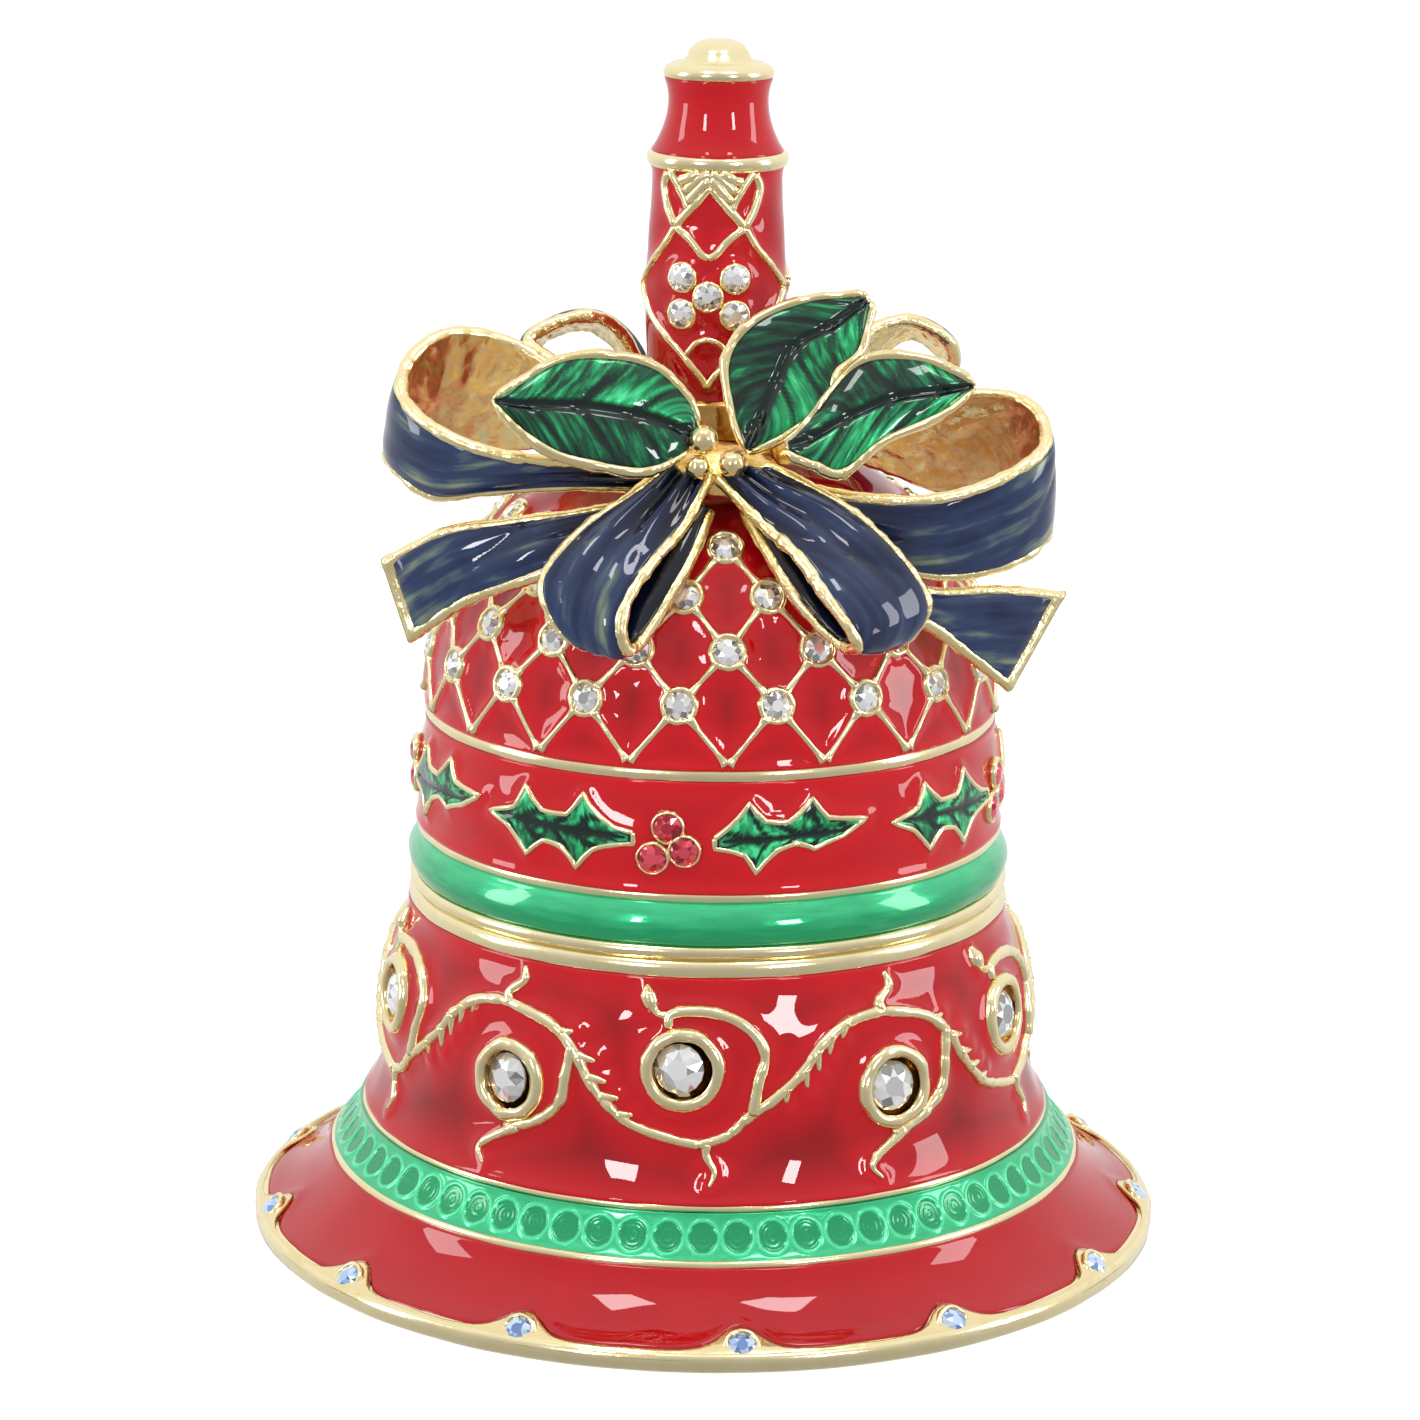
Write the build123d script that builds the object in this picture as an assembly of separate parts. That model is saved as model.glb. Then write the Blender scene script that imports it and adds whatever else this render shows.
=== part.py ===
from build123d import *
import os
from math import atan2, cos, radians, sin, sqrt

# A trinket box in the shape of a small hand bell: cast metal shells plated in pale gold, filled with
# enamel, set with crystals and topped with a ribbon bow.  The bell opens at its waist on a rear hinge.
# Millimetres, +Z up, origin at the centre of the foot's underside, front towards -Y.

# ---- driving dimensions -------------------------------------------------------------------------
FOOT_R = 28.3            # outside of the foot ring
FOOT_BORE_R = 24.0       # bore that takes the pressed-in bottom plate
FOOT_EDGE_Z = 1.0        # top of the straight gold edge of the foot
SHUT_Z = 21.83           # height of the shut line between base and lid
RIM_R = 18.45            # gold rims that meet at the shut line
COLLAR_R = 17.0          # outside of the sleeve that centres the lid
COLLAR_WALL = 0.8
COLLAR_Z = (19.5, 22.8)
LID_BORE_R = 17.2        # runs over the sleeve
INNER_R = 16.2           # inside of the lid and of the sleeve
DOME_R = 17.6
DOME_Z = 33.0            # centre height of the dome
ENAMEL = 0.5             # depth of the enamel channels
THROUGH = 0.8            # depth of a hole that goes right through the enamel
SEAT_R = 5.0             # flat seat for the handle on top of the dome
HANDLE_TOP = 73.7
HINGE_Y = 19.85
KNUCKLE_R = 1.15
PIN_R = 0.5
MAGNET_R = 1.5
MAGNET_H = 1.2
MAGNET_Y = -14.25
MAGNET_GAP = 0.25        # between the faces of the closed magnets
RIBBON = 0.7             # thickness of the bow's metal
RIBBON_EDGE = 0.45       # bare metal edge left around the ribbon enamel
RIBBON_ENAMEL = 0.4

# Enamelled outlines as (radius, height), from low to high.
SKIRT = [(26.5, 1.7), (24.8, 3.0), (23.55, 4.6)]
GUILLOCHE = [(23.3, 4.9), (22.3, 6.1), (21.6, 7.3)]
SCROLL = [(21.35, 7.7), (20.3, 10.5), (20.2, 14.0), (19.6, 17.5), (18.5, 20.75)]
LID_BAND = [(18.3, 22.7), (18.5, 23.6), (17.95, 25.2)]
HOLLY_BAND = [(18.08, 25.85), (18.05, 28.0), (17.9, 30.5), (17.5, 32.35)]
SHAFT = [(4.1, 52.4), (4.35, 58.5), (4.0, 65.0), (3.95, 66.2)]
NECK = [(3.95, 67.0), (3.3, 68.6), (3.05, 70.2), (3.2, 71.4)]
HANDLE_CRYSTAL_R = 0.77
HANDLE_COLLET_R = 0.95
SHAFT_SEAT_R = 3.6
NECK_SEAT_R = 2.6

# Repeats around the bell.  Angles are in degrees from the front, positive to the right.
FOOT_CRYSTALS = 13
FOOT_CRYSTAL_R = 0.82
LATTICE_COLUMNS = 19
LATTICE_ROWS = [36.9, 39.9, 42.8, 45.3]
LATTICE_FOOT_Z = 33.45
LATTICE_START = -6.0
LATTICE_CRYSTAL_R = 0.87
LATTICE_COLLET_R = 1.1
SCROLL_STARTS = [-72.7, -3.8, 65.1, 139.2, 213.2]   # the scroll is laid out by hand, a little unevenly
SCROLL_REPEAT = 72.0     # angle that one repeat is drawn in
SCROLL_LOW_COLLET = (39.3, 13.75)
SCROLL_HIGH_COLLET = (0.0, 15.6)
SCROLL_COLLET_R = 2.5
SCROLL_CRYSTAL_R = 1.85
SCROLL_COLLET_DEPTH = 1.05
BERRY_R = 0.8
BERRY_COLLET_R = 0.95
CLUSTERS = [-87.0, -7.3, 75.0, 174.0]
BERRY_SPOTS = [(-0.2, 29.8), (-3.0, 27.9), (2.9, 28.4)]
LEAF_TIP = 38.0          # angle from the middle of a holly cluster to a leaf's tip
LEAF_BASE = 7.5


# ---- general helpers ----------------------------------------------------------------------------
def rz(r, z):
    """Point of a turned outline."""
    return Vector(r, 0, z)


def turned(*edges):
    """Solid of revolution about Z from a closed chain of edges."""
    return revolve(make_face(list(edges)), Axis.Z)


def outline(points, inset=0.0):
    """Smooth outline through (radius, height) points, moved inwards by inset."""
    return Spline(*[rz(r - inset, z) for r, z in points])


def path(*points):
    """Straight runs through (radius, height) points."""
    return Polyline(*[rz(r, z) for r, z in points])


def filled_ring(points, inner):
    """Ring of enamel between its outline and an inner edge that runs the same way."""
    outer = outline(points)
    return turned(outer, Line(outer @ 1, inner @ 1), inner, Line(inner @ 0, outer @ 0))


def channel_ring(points):
    return filled_ring(points, outline(points, ENAMEL))


def polar(r, angle, z):
    """Point at an angle from the front."""
    return Vector(r * sin(radians(angle)), -r * cos(radians(angle)), z)


def radius_on(points, z):
    """Radius of a spline outline at a height, by halving."""
    line = outline(points)
    low, high = 0.0, 1.0
    for _ in range(24):
        middle = (low + high) / 2
        if (line @ middle).Z < z:
            low = middle
        else:
            high = middle
    return (line @ low).X


def dome_radius(z):
    return sqrt(DOME_R ** 2 - (z - DOME_Z) ** 2)


def placed(solid, point, normal):
    """Stand a solid made along +Z on a point, pointing along a normal."""
    return Plane(origin=point, z_dir=normal).location * solid


def lofted(sections):
    """Solid with straight sides through four-cornered sections."""
    wires = [Wire.make_polygon(corners, close=True) for corners in sections]
    return Solid.make_loft(wires, ruled=True)


def stations(count):
    return [i / (count - 1) for i in range(count)]


def strip(upper, lower, thickness, edge=0.0, lift=0.0, count=22, first=0, last=None):
    """Band of metal or enamel between two rails, built outwards from the face between them.

    It can run from the first to the last of its stations, so that a short band lies true on a long one.
    """
    top, bottom = Spline(*upper), Spline(*lower)
    sections = []
    for t in stations(count)[first:last]:
        high, low = top @ t, bottom @ t
        along = (top % t) + (bottom % t)
        across = (high - low).normalized()
        out = across.cross(along).normalized()
        margin = min(edge, (high - low).length * 0.4)
        high, low = high - across * margin, low + across * margin
        base, tip = out * lift, out * (lift + thickness)
        sections.append([low + base, high + base, high + tip, low + tip])
    return lofted(sections)


def surface_wire(radius_at, spots, width=0.5, sink=0.25, rise=0.25, count=16):
    """Square wire that follows (angle, height) spots laid on a surface of revolution."""
    line = Spline(*[Vector(a, z, 0) for a, z in spots])
    steps = stations(count)
    points = []
    for t in steps:
        spot = line @ t
        points.append(polar(radius_at(spot.Y), spot.X, spot.Y))
    sections = []
    for i, point in enumerate(points):
        before, after = points[max(i - 1, 0)], points[min(i + 1, count - 1)]
        out = Vector(point.X, point.Y, 0).normalized()
        side = (after - before).cross(out).normalized() * (width / 2)
        low, high = point - out * sink, point + out * rise
        sections.append([low - side, low + side, high + side, high - side])
    return lofted(sections)


def crystal(radius):
    """Cut crystal standing on its point: pavilion, girdle, crown and table."""
    half = path((0, -0.55 * radius), (radius, 0), (radius, 0.12 * radius), (0.6 * radius, 0.4 * radius),
                (0, 0.4 * radius), (0, -0.55 * radius))
    return turned(half)


def collet(radius, stone, depth):
    """Ring setting whose seat fits the crystal."""
    rise = 0.3 * stone
    blank = turned(path((0, -depth), (radius, -depth), (radius, 0), (radius - 0.1, rise),
                        (stone * 0.97, rise), (0, rise), (0, -depth)))
    bore = Cylinder(stone * 0.45, 4 * depth)
    mouth = Pos(0, 0, rise) * Cylinder(stone, 2 * rise + 0.02)
    return blank - bore - crystal(stone) - mouth


def pockets(places, radius, depth):
    """Round pockets for collets, open outwards."""
    height = depth + 2.0
    blank = Pos(0, 0, height / 2 - depth) * Cylinder(radius, height)
    return [placed(blank, point, normal) for point, normal in places]


def group(solids):
    return Compound(children=list(solids))


# ---- base ---------------------------------------------------------------------------------------
def base_outer():
    """Full turned form of the base with every enamel zone filled."""
    skirt, guilloche, scroll = outline(SKIRT), outline(GUILLOCHE), outline(SCROLL)
    return [
        path((FOOT_BORE_R, 0), (FOOT_R, 0), (FOOT_R, FOOT_EDGE_Z), (27.4, 1.25), SKIRT[0]),
        skirt, Line(skirt @ 1, guilloche @ 0), guilloche, Line(guilloche @ 1, scroll @ 0), scroll,
        path(SCROLL[-1], (RIM_R, SHUT_Z - 1.0), (RIM_R, SHUT_Z), (COLLAR_R, SHUT_Z)),
    ]


def base_cavity():
    """Inner outline of the base, from the sleeve seat down to the bottom plate."""
    return path((COLLAR_R, SHUT_Z), (COLLAR_R, COLLAR_Z[0]), (INNER_R, COLLAR_Z[0]), (INNER_R, 18.4),
                (18.0, 16.6), (18.2, 9.0), (22.5, 2.6), (22.5, 1.8), (FOOT_BORE_R, 1.8), (FOOT_BORE_R, 0))


def magnet_boss(z_low, z_high, web_low, web_high, wall_y):
    """Round boss at the front with a web to the wall."""
    boss_r = MAGNET_R + 0.4
    boss = Pos(0, MAGNET_Y, (z_low + z_high) / 2) * Cylinder(boss_r, z_high - z_low)
    depth = MAGNET_Y - wall_y
    web = Pos(0, MAGNET_Y - depth / 2, (web_low + web_high) / 2) * Box(2 * boss_r, depth, web_high - web_low)
    return boss + web


def base_magnet():
    return Pos(0, MAGNET_Y, SHUT_Z - 0.13 - MAGNET_H / 2) * Cylinder(MAGNET_R, MAGNET_H)


def foot_crystal_places():
    """Point and outward normal of each crystal in the foot's edge."""
    places = []
    for i in range(FOOT_CRYSTALS):
        angle = 4.9 + i * 360 / FOOT_CRYSTALS
        places.append((polar(27.55, angle, 1.2), polar(1, angle, 0.9)))
    return places


def foot_crystals():
    return group(placed(crystal(FOOT_CRYSTAL_R), p, n) for p, n in foot_crystal_places())


def base_shell():
    body = turned(*base_outer(), base_cavity())
    body += magnet_boss(17.2, SHUT_Z - 0.13, 17.2, COLLAR_Z[0], -17.4)
    for ring in (channel_ring(SKIRT), channel_ring(GUILLOCHE), channel_ring(SCROLL)):
        body -= ring
    body -= base_magnet()
    pocket = Pos(0, 0, 0.5) * Cylinder(FOOT_CRYSTAL_R, 1.0) + crystal(FOOT_CRYSTAL_R)
    body -= [placed(pocket, point, normal) for point, normal in foot_crystal_places()]
    return body - pockets(scroll_places(), SCROLL_COLLET_R, SCROLL_COLLET_DEPTH)


def bottom_plate():
    return Pos(0, 0, 1.3) * Cylinder(FOOT_BORE_R, 1.0)


def locating_collar():
    height = COLLAR_Z[1] - COLLAR_Z[0]
    tube = Cylinder(COLLAR_R, height) - Cylinder(COLLAR_R - COLLAR_WALL, height)
    return Pos(0, 0, sum(COLLAR_Z) / 2) * tube


def scroll_radius(z):
    return radius_on(SCROLL, z)


def scroll_spot(turn, angle, z):
    """Angle and height on the bell of a spot given within one repeat of the scroll."""
    start = SCROLL_STARTS[turn]
    following = (SCROLL_STARTS + [SCROLL_STARTS[0] + 360])[turn + 1]
    return (start + angle * (following - start) / SCROLL_REPEAT, z)


def scroll_places():
    """Point and outward normal of each large crystal in the scroll."""
    places = []
    for turn in range(len(SCROLL_STARTS)):
        for angle, z in (SCROLL_HIGH_COLLET, SCROLL_LOW_COLLET):
            at, height = scroll_spot(turn, angle, z)
            places.append((polar(scroll_radius(height), at, height), polar(1, at, 0.1)))
    return places


def scroll_collets():
    setting = collet(SCROLL_COLLET_R, SCROLL_CRYSTAL_R, SCROLL_COLLET_DEPTH)
    return group(placed(setting, p, n) for p, n in scroll_places())


def scroll_enamel():
    return channel_ring(SCROLL) - pockets(scroll_places(), SCROLL_COLLET_R, SCROLL_COLLET_DEPTH)


def scroll_crystals():
    return group(placed(crystal(SCROLL_CRYSTAL_R), p, n) for p, n in scroll_places())


def scroll_vine():
    """Wave that runs round the base, with a curl round each large crystal."""
    wave = [(0.2, 11.2), (8.0, 12.4), (17.0, 14.9), (24.5, 17.3), (36.0, 18.4), (47.0, 17.6), (54.0, 14.9),
            (61.0, 12.4), (71.8, 11.2)]
    wires = []
    for turn in range(len(SCROLL_STARTS)):
        spots = [scroll_spot(turn, a, z) for a, z in wave]
        wires.append(surface_wire(scroll_radius, spots, 0.6, 0.3, 0.35, count=30))
    high_curl = [(11.2, 13.9), (13.6, 16.2), (9.5, 18.5), (3.0, 19.3), (-2.0, 18.9), (-2.8, 18.45)]
    low_curl = [(48.4, 15.9), (48.6, 13.4), (45.0, 11.2), (39.5, 10.5), (37.0, 10.75)]
    for turn in range(len(SCROLL_STARTS)):
        for curl in (high_curl, low_curl):
            spots = [scroll_spot(turn, a, z) for a, z in curl]
            wires.append(surface_wire(scroll_radius, spots, 0.5, 0.3, 0.3))
    return group(wires)


# ---- lid ----------------------------------------------------------------------------------------
def dome_arc(radius, low_z, high_r):
    """Arc of the dome from a height up to a radius near the top."""
    start = rz(sqrt(radius ** 2 - (low_z - DOME_Z) ** 2), low_z)
    end = rz(high_r, DOME_Z + sqrt(radius ** 2 - high_r ** 2))
    middle_angle = (atan2(start.Z - DOME_Z, start.X) + atan2(end.Z - DOME_Z, end.X)) / 2
    middle = rz(radius * cos(middle_angle), DOME_Z + radius * sin(middle_angle))
    return ThreePointArc(start, middle, end)


def dome_ring():
    outer = dome_arc(DOME_R, 33.25, SEAT_R)
    inner = dome_arc(DOME_R - ENAMEL, 33.25, SEAT_R)
    return turned(outer, Line(outer @ 1, inner @ 1), inner, Line(inner @ 0, outer @ 0))


def dome_enamel():
    return dome_ring() - pockets(lattice_places(), LATTICE_COLLET_R, THROUGH)


def lid_shell():
    band, holly, dome = outline(LID_BAND), outline(HOLLY_BAND), dome_arc(DOME_R, 33.25, SEAT_R)
    bore_r = 2.5
    inside = dome_arc(INNER_R, DOME_Z, bore_r)
    body = turned(
        path((LID_BORE_R, SHUT_Z), (RIM_R, SHUT_Z), (RIM_R, 22.6), LID_BAND[0]), band,
        Line(band @ 1, holly @ 0), holly, Line(holly @ 1, dome @ 0), dome,
        Line(dome @ 1, rz(bore_r, (dome @ 1).Z)), Line(rz(bore_r, (dome @ 1).Z), inside @ 1), inside,
        path((INNER_R, DOME_Z), (INNER_R, 23.5), (LID_BORE_R, 23.5), (LID_BORE_R, SHUT_Z)),
    )
    body += magnet_boss(SHUT_Z - 0.13 + MAGNET_GAP, 26.0, 23.6, 26.0, -16.8)
    for ring in (channel_ring(LID_BAND), channel_ring(HOLLY_BAND), dome_ring(), lid_magnet()):
        body -= ring
    return body


def lid_magnet():
    return base_magnet().moved(Location((0, 0, MAGNET_GAP + MAGNET_H)))


def leaf_outline(side):
    """Spiny holly leaf as (angle, height) from the middle of its cluster."""
    length = LEAF_TIP - LEAF_BASE
    upper = [(0.0, 0.4), (0.14, 1.1), (0.28, 2.5), (0.45, 1.5), (0.62, 2.3), (0.8, 0.9)]
    lower = [(0.85, -0.5), (0.64, -1.7), (0.5, -1.1), (0.3, -2.0), (0.15, -0.9), (0.0, -0.3)]
    points = upper + [(1.0, 0.2)] + lower
    return [(side * (LEAF_BASE + along * length), 29.1 + up) for along, up in points]


def leaf_prism(cluster, side, inset):
    """Leaf outline as a prism that runs out through the band, square to its own middle."""
    middle = side * (LEAF_BASE + LEAF_TIP) / 2
    frame = Plane(origin=polar(0, 0, 0), x_dir=polar(1, cluster + middle + 90, 0),
                  z_dir=polar(1, cluster + middle, 0))
    corners = []
    for angle, z in leaf_outline(side):
        corners.append((18.0 * sin(radians(angle - middle)), z))
    shape = offset(make_face(Polyline(*corners, close=True)), -inset, kind=Kind.INTERSECTION)
    return extrude(frame.location * shape, 20.0)


def band_slice(low, high):
    """Part of the holly band between two offsets from its outline."""
    outer, inner = outline(HOLLY_BAND, -high), outline(HOLLY_BAND, -low)
    return turned(outer, Line(outer @ 1, inner @ 1), inner, Line(inner @ 0, outer @ 0))


def holly_leaves():
    """Raised gold outlines, their green filling, and the red band cut to take them."""
    frames, fillings = [], []
    red = channel_ring(HOLLY_BAND)
    full_depth, fill_depth = band_slice(-ENAMEL, 0.25), band_slice(-ENAMEL, 0.15)
    for cluster in CLUSTERS:
        for side in (-1, 1):
            whole, hollow = leaf_prism(cluster, side, 0.0), leaf_prism(cluster, side, 0.28)
            red -= whole
            frames.append(full_depth & (whole - hollow))
            fillings.append(fill_depth & hollow)
    red -= pockets(berry_places(), BERRY_COLLET_R, THROUGH)
    return largest(red), frames, fillings


def largest(shape):
    """The biggest solid of a cut shape, without the slivers left between holes."""
    return max(shape.solids(), key=lambda solid: solid.volume)


def solids_of(shapes):
    found = []
    for shape in shapes:
        found += list(shape.solids())
    return group(found)


def berry_places():
    places = []
    for cluster in CLUSTERS:
        for angle, z in BERRY_SPOTS:
            places.append((polar(18.1, cluster + angle, z), polar(1, cluster + angle, 0)))
    return places


def berry_collets():
    return group(placed(collet(BERRY_COLLET_R, BERRY_R, ENAMEL), p, n) for p, n in berry_places())


def berry_crystals():
    return group(placed(crystal(BERRY_R), p, n) for p, n in berry_places())


def lattice_spot(row, column):
    """Angle and height of a lattice crystal; odd rows sit half a pitch over."""
    pitch = 360 / LATTICE_COLUMNS
    return (LATTICE_START + (column + 0.5 * (row % 2)) * pitch, LATTICE_ROWS[row])


def lattice_places():
    places = []
    for row in range(len(LATTICE_ROWS)):
        for column in range(LATTICE_COLUMNS):
            angle, z = lattice_spot(row, column)
            point = polar(dome_radius(z), angle, z)
            places.append((point, point - Vector(0, 0, DOME_Z)))
    return places


def lattice_collets():
    setting = collet(LATTICE_COLLET_R, LATTICE_CRYSTAL_R, ENAMEL)
    return group(placed(setting, p, n) for p, n in lattice_places())


def lattice_crystals():
    return group(placed(crystal(LATTICE_CRYSTAL_R), p, n) for p, n in lattice_places())


def straight_wire(start, end, clear_start, clear_end):
    """Round wire between two spots of the dome, kept clear of what is at its ends."""
    run = (end - start).normalized()
    first, last = start + run * clear_start, end - run * clear_end
    length = (last - first).length
    return placed(Pos(0, 0, length / 2) * Cylinder(0.2, length), first, run)


def lattice_wires():
    """Wires between neighbouring crystals, and the pointed border under the lowest row."""
    pitch = 360 / LATTICE_COLUMNS
    collet_r = LATTICE_COLLET_R + 0.06
    wires = []
    for column in range(LATTICE_COLUMNS):
        for side in (-0.5, 0.5):
            angle, z = lattice_spot(0, column)
            start = polar(dome_radius(z), angle, z)
            foot_angle = angle + side * pitch
            foot = polar(dome_radius(LATTICE_FOOT_Z), foot_angle, LATTICE_FOOT_Z)
            wires.append(straight_wire(start, foot, collet_r, 0.5))
            for row in range(len(LATTICE_ROWS) - 1):
                angle, z = lattice_spot(row, column)
                start = polar(dome_radius(z), angle, z)
                high = LATTICE_ROWS[row + 1]
                end = polar(dome_radius(high), angle + side * pitch, high)
                wires.append(straight_wire(start, end, collet_r, collet_r))
    return group(wires)


# ---- hinge --------------------------------------------------------------------------------------
def knuckle(x_low, x_high, bore):
    middle = Pos((x_low + x_high) / 2, HINGE_Y, SHUT_Z)
    length = x_high - x_low
    return middle * Rot(0, 90, 0) * (Cylinder(KNUCKLE_R, length) - Cylinder(bore, length))


def hinge_leaf(x_low, x_high, up, bore, wall):
    """One leaf: a knuckle and the plate that joins it to the wall, cut to the wall's form."""
    height = 1.9
    plate_y = (17.5, HINGE_Y + 0.2)
    z_middle = SHUT_Z + up * (0.12 + height / 2)
    plate = Pos((x_low + x_high) / 2, sum(plate_y) / 2, z_middle)
    plate *= Box(x_high - x_low, plate_y[1] - plate_y[0], height)
    plate -= Pos(0, HINGE_Y, SHUT_Z) * Rot(0, 90, 0) * Cylinder(bore, 40)
    return (plate + knuckle(x_low, x_high, bore)) - wall


def hinge_base_leaf():
    wall = turned(*base_outer(), path((COLLAR_R, SHUT_Z), (0, SHUT_Z), (0, 0), (FOOT_BORE_R, 0)))
    ends = [hinge_leaf(low, high, -1, PIN_R, wall) for low, high in ((-4.5, -1.6), (1.6, 4.5))]
    return group(ends)


def hinge_lid_leaf():
    band = outline(LID_BAND)
    wall = turned(path((0, SHUT_Z), (RIM_R, SHUT_Z), (RIM_R, 22.6), LID_BAND[0]), band,
                  path(LID_BAND[-1], (0, LID_BAND[-1][1]), (0, SHUT_Z)))
    return hinge_leaf(-1.5, 1.5, 1, PIN_R + 0.05, wall)


def hinge_pin():
    return Pos(0, HINGE_Y, SHUT_Z) * Rot(0, 90, 0) * Cylinder(PIN_R, 9.4)


# ---- handle -------------------------------------------------------------------------------------
def handle_core():
    seat_z = DOME_Z + sqrt(DOME_R ** 2 - SEAT_R ** 2)
    return turned(path((0, 48.6), (2.5, 48.6), (2.5, seat_z), (SEAT_R, seat_z), (SEAT_R, 50.6), (4.5, 51.2),
                       (4.5, 52.4), (SHAFT_SEAT_R, 52.4), (SHAFT_SEAT_R, 66.2), (4.4, 66.2), (4.4, 67.0),
                       (NECK_SEAT_R, 67.0), (NECK_SEAT_R, 71.4), (1.5, 71.4), (1.5, 72.6), (0, 72.6),
                       (0, 48.6)))


def handle_shaft_enamel():
    ring = filled_ring(SHAFT, path((SHAFT_SEAT_R, SHAFT[0][1]), (SHAFT_SEAT_R, SHAFT[-1][1])))
    return ring - pockets(handle_crystal_places(), HANDLE_COLLET_R, ENAMEL)


def handle_neck_enamel():
    return filled_ring(NECK, path((NECK_SEAT_R, NECK[0][1]), (NECK_SEAT_R, NECK[-1][1])))


def handle_cap():
    """Flange with a low round crown, bored for the peg of the core."""
    crown_r, crown_z = 1.9, 72.6
    crown_h = HANDLE_TOP - crown_z
    ball_r = (crown_r ** 2 + crown_h ** 2) / (2 * crown_h)
    crown = Pos(0, 0, HANDLE_TOP - ball_r) * Sphere(ball_r) & Pos(0, 0, crown_z + 1) * Box(9, 9, 2)
    flange = turned(path((1.5, 71.4), (3.35, 71.4), (3.35, 71.9), (2.8, 72.3), (crown_r, crown_z),
                         (1.5, crown_z), (1.5, 71.4)))
    return flange + crown


def shaft_radius(z):
    return radius_on(SHAFT, z)


def handle_wires():
    """Two large diamonds round the shaft with a smaller crossing above each."""
    wires = []
    for front in (0.0, 180.0):
        for side in (-1, 1):
            rising = [(0.0, 53.3), (42.0, 56.0), (88.0, 58.9), (60.0, 61.0), (31.0, 62.6)]
            spots = [(front + side * (a if a else 1.5), z) for a, z in rising]
            wires.append(surface_wire(shaft_radius, spots, 0.4, 0.3, 0.15))
            crossing = [(28.5, 63.0), (20.0, 64.0), (8.0, 65.6)]
            spots = [(front + side * a, z) for a, z in crossing]
            wires.append(surface_wire(shaft_radius, spots, 0.4, 0.3, 0.15, count=6))
    return group(wires)


def handle_crystal_places():
    places = []
    for front in (-6.0, 174.0):
        for angle, z in ((0, 58.8), (-21, 59.9), (21, 59.9), (-21, 57.7), (21, 57.7)):
            places.append((polar(4.5, front + angle, z), polar(1, front + angle, 0)))
    return places


def handle_settings():
    setting = collet(HANDLE_COLLET_R, HANDLE_CRYSTAL_R, ENAMEL)
    return group(placed(setting, p, n) for p, n in handle_crystal_places())


def handle_crystals():
    return group(placed(crystal(HANDLE_CRYSTAL_R), p, n) for p, n in handle_crystal_places())


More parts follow.
